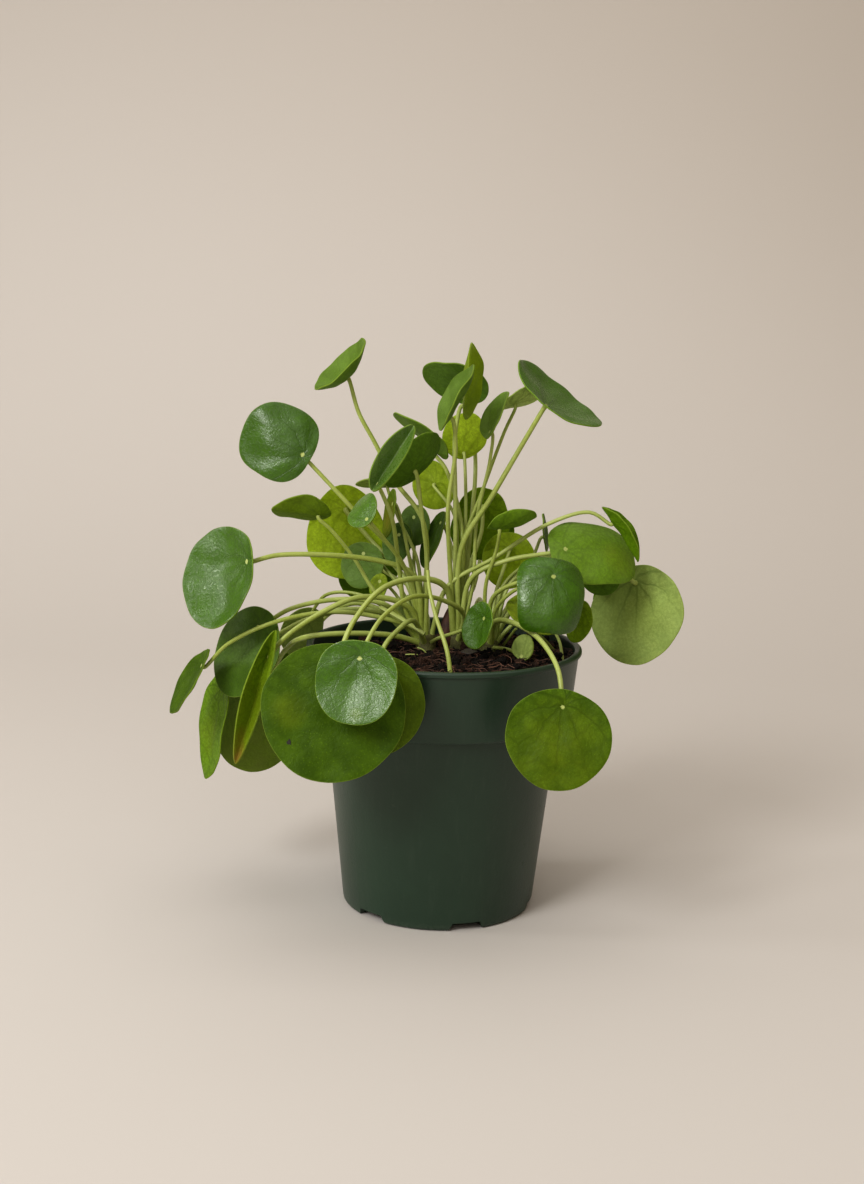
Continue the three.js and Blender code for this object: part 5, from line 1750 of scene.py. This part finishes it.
# The place and size of each light, and what they aim at
LIGHTS = {
    "window": ((-1.2, -1.5, 1.45), (0.8, 0.8)),
    "front": ((-0.4, -1.8, 1.4), (2.8, 1.6)),
    "side": ((-1.95, -0.1, 0.85), (0.35, 0.35)),
    "top": ((-0.1, 0.3, 2.0), (2.2, 2.2)),
}
LIGHT_AIM = Vector((0, 0, 0.16))
LIGHT_COLOUR = (1.0, 0.995, 0.985)
FILL_COLOUR = (1.0, 0.81, 0.58, 1.0)


def sweep_material():
    """Matt paper with the faintest cloudiness, painted lighter where it stands as backdrop and painted
    with shade towards its upper right.
    """
    material, nodes = new_material("Sweep paper")
    place = nodes.add("ShaderNodeTexCoord").outputs["Object"]
    stage = settings().stage
    axes = nodes.axes(place)
    # Painted light: the standing backdrop is lighter than the floor
    backdrop = nodes.step(axes["Y"], *BACKDROP_TURN)
    paper = nodes.mix(backdrop, rgba(stage.floor_colour), rgba(stage.wall_colour))
    # Painted shade: darker and warmer towards the upper right, where less light falls
    painted_shade_to_upper_right = nodes.step(nodes.math("ADD", nodes.times(axes["Z"], FAR_SLOPE), axes["X"]), *FAR_TURN)
    paper = nodes.mix(painted_shade_to_upper_right, paper, rgba(stage.far_painted_shade_colour))
    clouds = nodes.noise(place, PAPER_CLOUD_SCALE, detail=2.0, roughness=0.5)
    paper = nodes.tint(paper, clouds, 0.05, toned(stage.floor_colour, 0.8))
    close_material(nodes, paper, roughness=0.9, shine=0.2)
    return material


def add_sweep():
    """The floor, pulled up behind into a backdrop over a wide round."""
    bpy.ops.object.select_all(action="DESELECT")
    bpy.ops.mesh.primitive_plane_add(size=1, location=(0, (SWEEP_BACK + SWEEP_FRONT) / 2, 0))
    sweep = bpy.context.object
    sweep.scale = (2 * SWEEP_HALF_WIDTH, SWEEP_BACK - SWEEP_FRONT, 1)
    bpy.ops.object.transform_apply(location=True, rotation=True, scale=True)
    for edge in sweep.data.edges:
        ends = [sweep.data.vertices[v].co for v in edge.vertices]
        edge.select = all(end.y > SWEEP_BACK - SWEEP_EDGE for end in ends)
    for vertex in sweep.data.vertices:
        vertex.select = vertex.co.y > SWEEP_BACK - SWEEP_EDGE
    for face in sweep.data.polygons:
        face.select = False
    bpy.ops.object.mode_set(mode="EDIT")
    bpy.ops.mesh.extrude_edges_move(TRANSFORM_OT_translate={"value": (0, 0, SWEEP_TOP)})
    stop_editing()
    add_modifier(sweep, "Rounding", "BEVEL", width=SWEEP_ROUNDING, segments=24, limit_method="ANGLE")
    apply_modifiers(sweep)
    sweep.name = "sweep"
    sweep.data.materials.append(sweep_material())
    bpy.ops.object.shade_smooth()


def add_area_light(name, place, size, power):
    data = bpy.data.lights.new(name, "AREA")
    data.shape = "RECTANGLE"
    data.size, data.size_y = size
    data.energy = power
    data.color = LIGHT_COLOUR
    light = add_object(name, data)
    light.location = place
    light.rotation_euler = (LIGHT_AIM - Vector(place)).to_track_quat("-Z", "Y").to_euler()


def add_camera(stage):
    """The camera that took the view: pitch down, a touch of yaw and roll."""
    pitch, yaw, roll = stage.camera_pitch, stage.camera_yaw, stage.camera_roll
    forward = Vector((math.sin(yaw) * math.cos(pitch), math.cos(yaw) * math.cos(pitch), -math.sin(pitch)))
    level_right = Vector((math.cos(yaw), -math.sin(yaw), 0))
    level_up = level_right.cross(forward)
    right = level_right * math.cos(roll) + level_up * math.sin(roll)
    up = level_up * math.cos(roll) - level_right * math.sin(roll)
    turn = Matrix((right, up, -forward)).transposed()
    data = bpy.data.cameras.new("photo_camera")
    data.sensor_width = SENSOR
    data.lens = SENSOR * FOCAL_PIXELS / IMAGE_HEIGHT
    camera = add_object("photo_camera", data)
    camera.matrix_world = Matrix.Translation(stage.camera_place) @ turn.to_4x4()
    bpy.context.scene.camera = camera


class PILEA_OT_stage(bpy.types.Operator):
    """Sets up the pale sweep, the soft lights and the camera"""

    bl_idname = "pilea.stage"
    bl_label = "Stage"

    def execute(self, context):
        stage = settings().stage
        add_sweep()
        for name, (place, size) in LIGHTS.items():
            add_area_light(name, place, size, getattr(stage, f"{name}_power"))
        world = bpy.data.worlds.new("Soft fill")
        world.use_nodes = True
        background = world.node_tree.nodes["Background"]
        background.inputs["Color"].default_value = FILL_COLOUR
        background.inputs["Strength"].default_value = stage.fill
        context.scene.world = world
        context.scene.view_settings.view_transform = "Standard"
        context.scene.view_settings.look = "Medium High Contrast"
        add_camera(stage)
        return {"FINISHED"}


class PILEA_PT_panel(bpy.types.Panel):
    """Lists the steps and the sizes in the sidebar"""

    bl_label = "Potted pilea"
    bl_idname = "PILEA_PT_panel"
    bl_space_type = "VIEW_3D"
    bl_region_type = "UI"
    bl_category = "Pilea"

    def draw(self, context):
        pilea = settings()
        for operator in OPERATORS:
            self.layout.operator(operator.bl_idname)
        for group in (pilea.pot, pilea.mix, pilea.stalks, pilea.leaves, pilea.stage):
            box = self.layout.box()
            for name in type(group).__annotations__:
                box.prop(group, name)


OPERATORS = (
    PILEA_OT_pot, PILEA_OT_mix, PILEA_OT_litter, PILEA_OT_stalks, PILEA_OT_leaves, PILEA_OT_stage,
)
GROUPS = (PotSizes, MixSizes, StalkSizes, LeafSizes, StageSizes, PileaSettings)
CLASSES = (*GROUPS, *OPERATORS, PILEA_PT_panel)


def register():
    for item in CLASSES:
        bpy.utils.register_class(item)
    bpy.types.Scene.potted_pilea = PointerProperty(type=PileaSettings)


def unregister():
    del bpy.types.Scene.potted_pilea
    for item in reversed(CLASSES):
        bpy.utils.unregister_class(item)


def main():
    register()
    bpy.ops.pilea.pot()
    bpy.ops.pilea.mix()
    bpy.ops.pilea.litter()
    bpy.ops.pilea.stalks()
    bpy.ops.pilea.leaves()
    bpy.ops.pilea.stage()


if __name__ == "__main__":
    main()
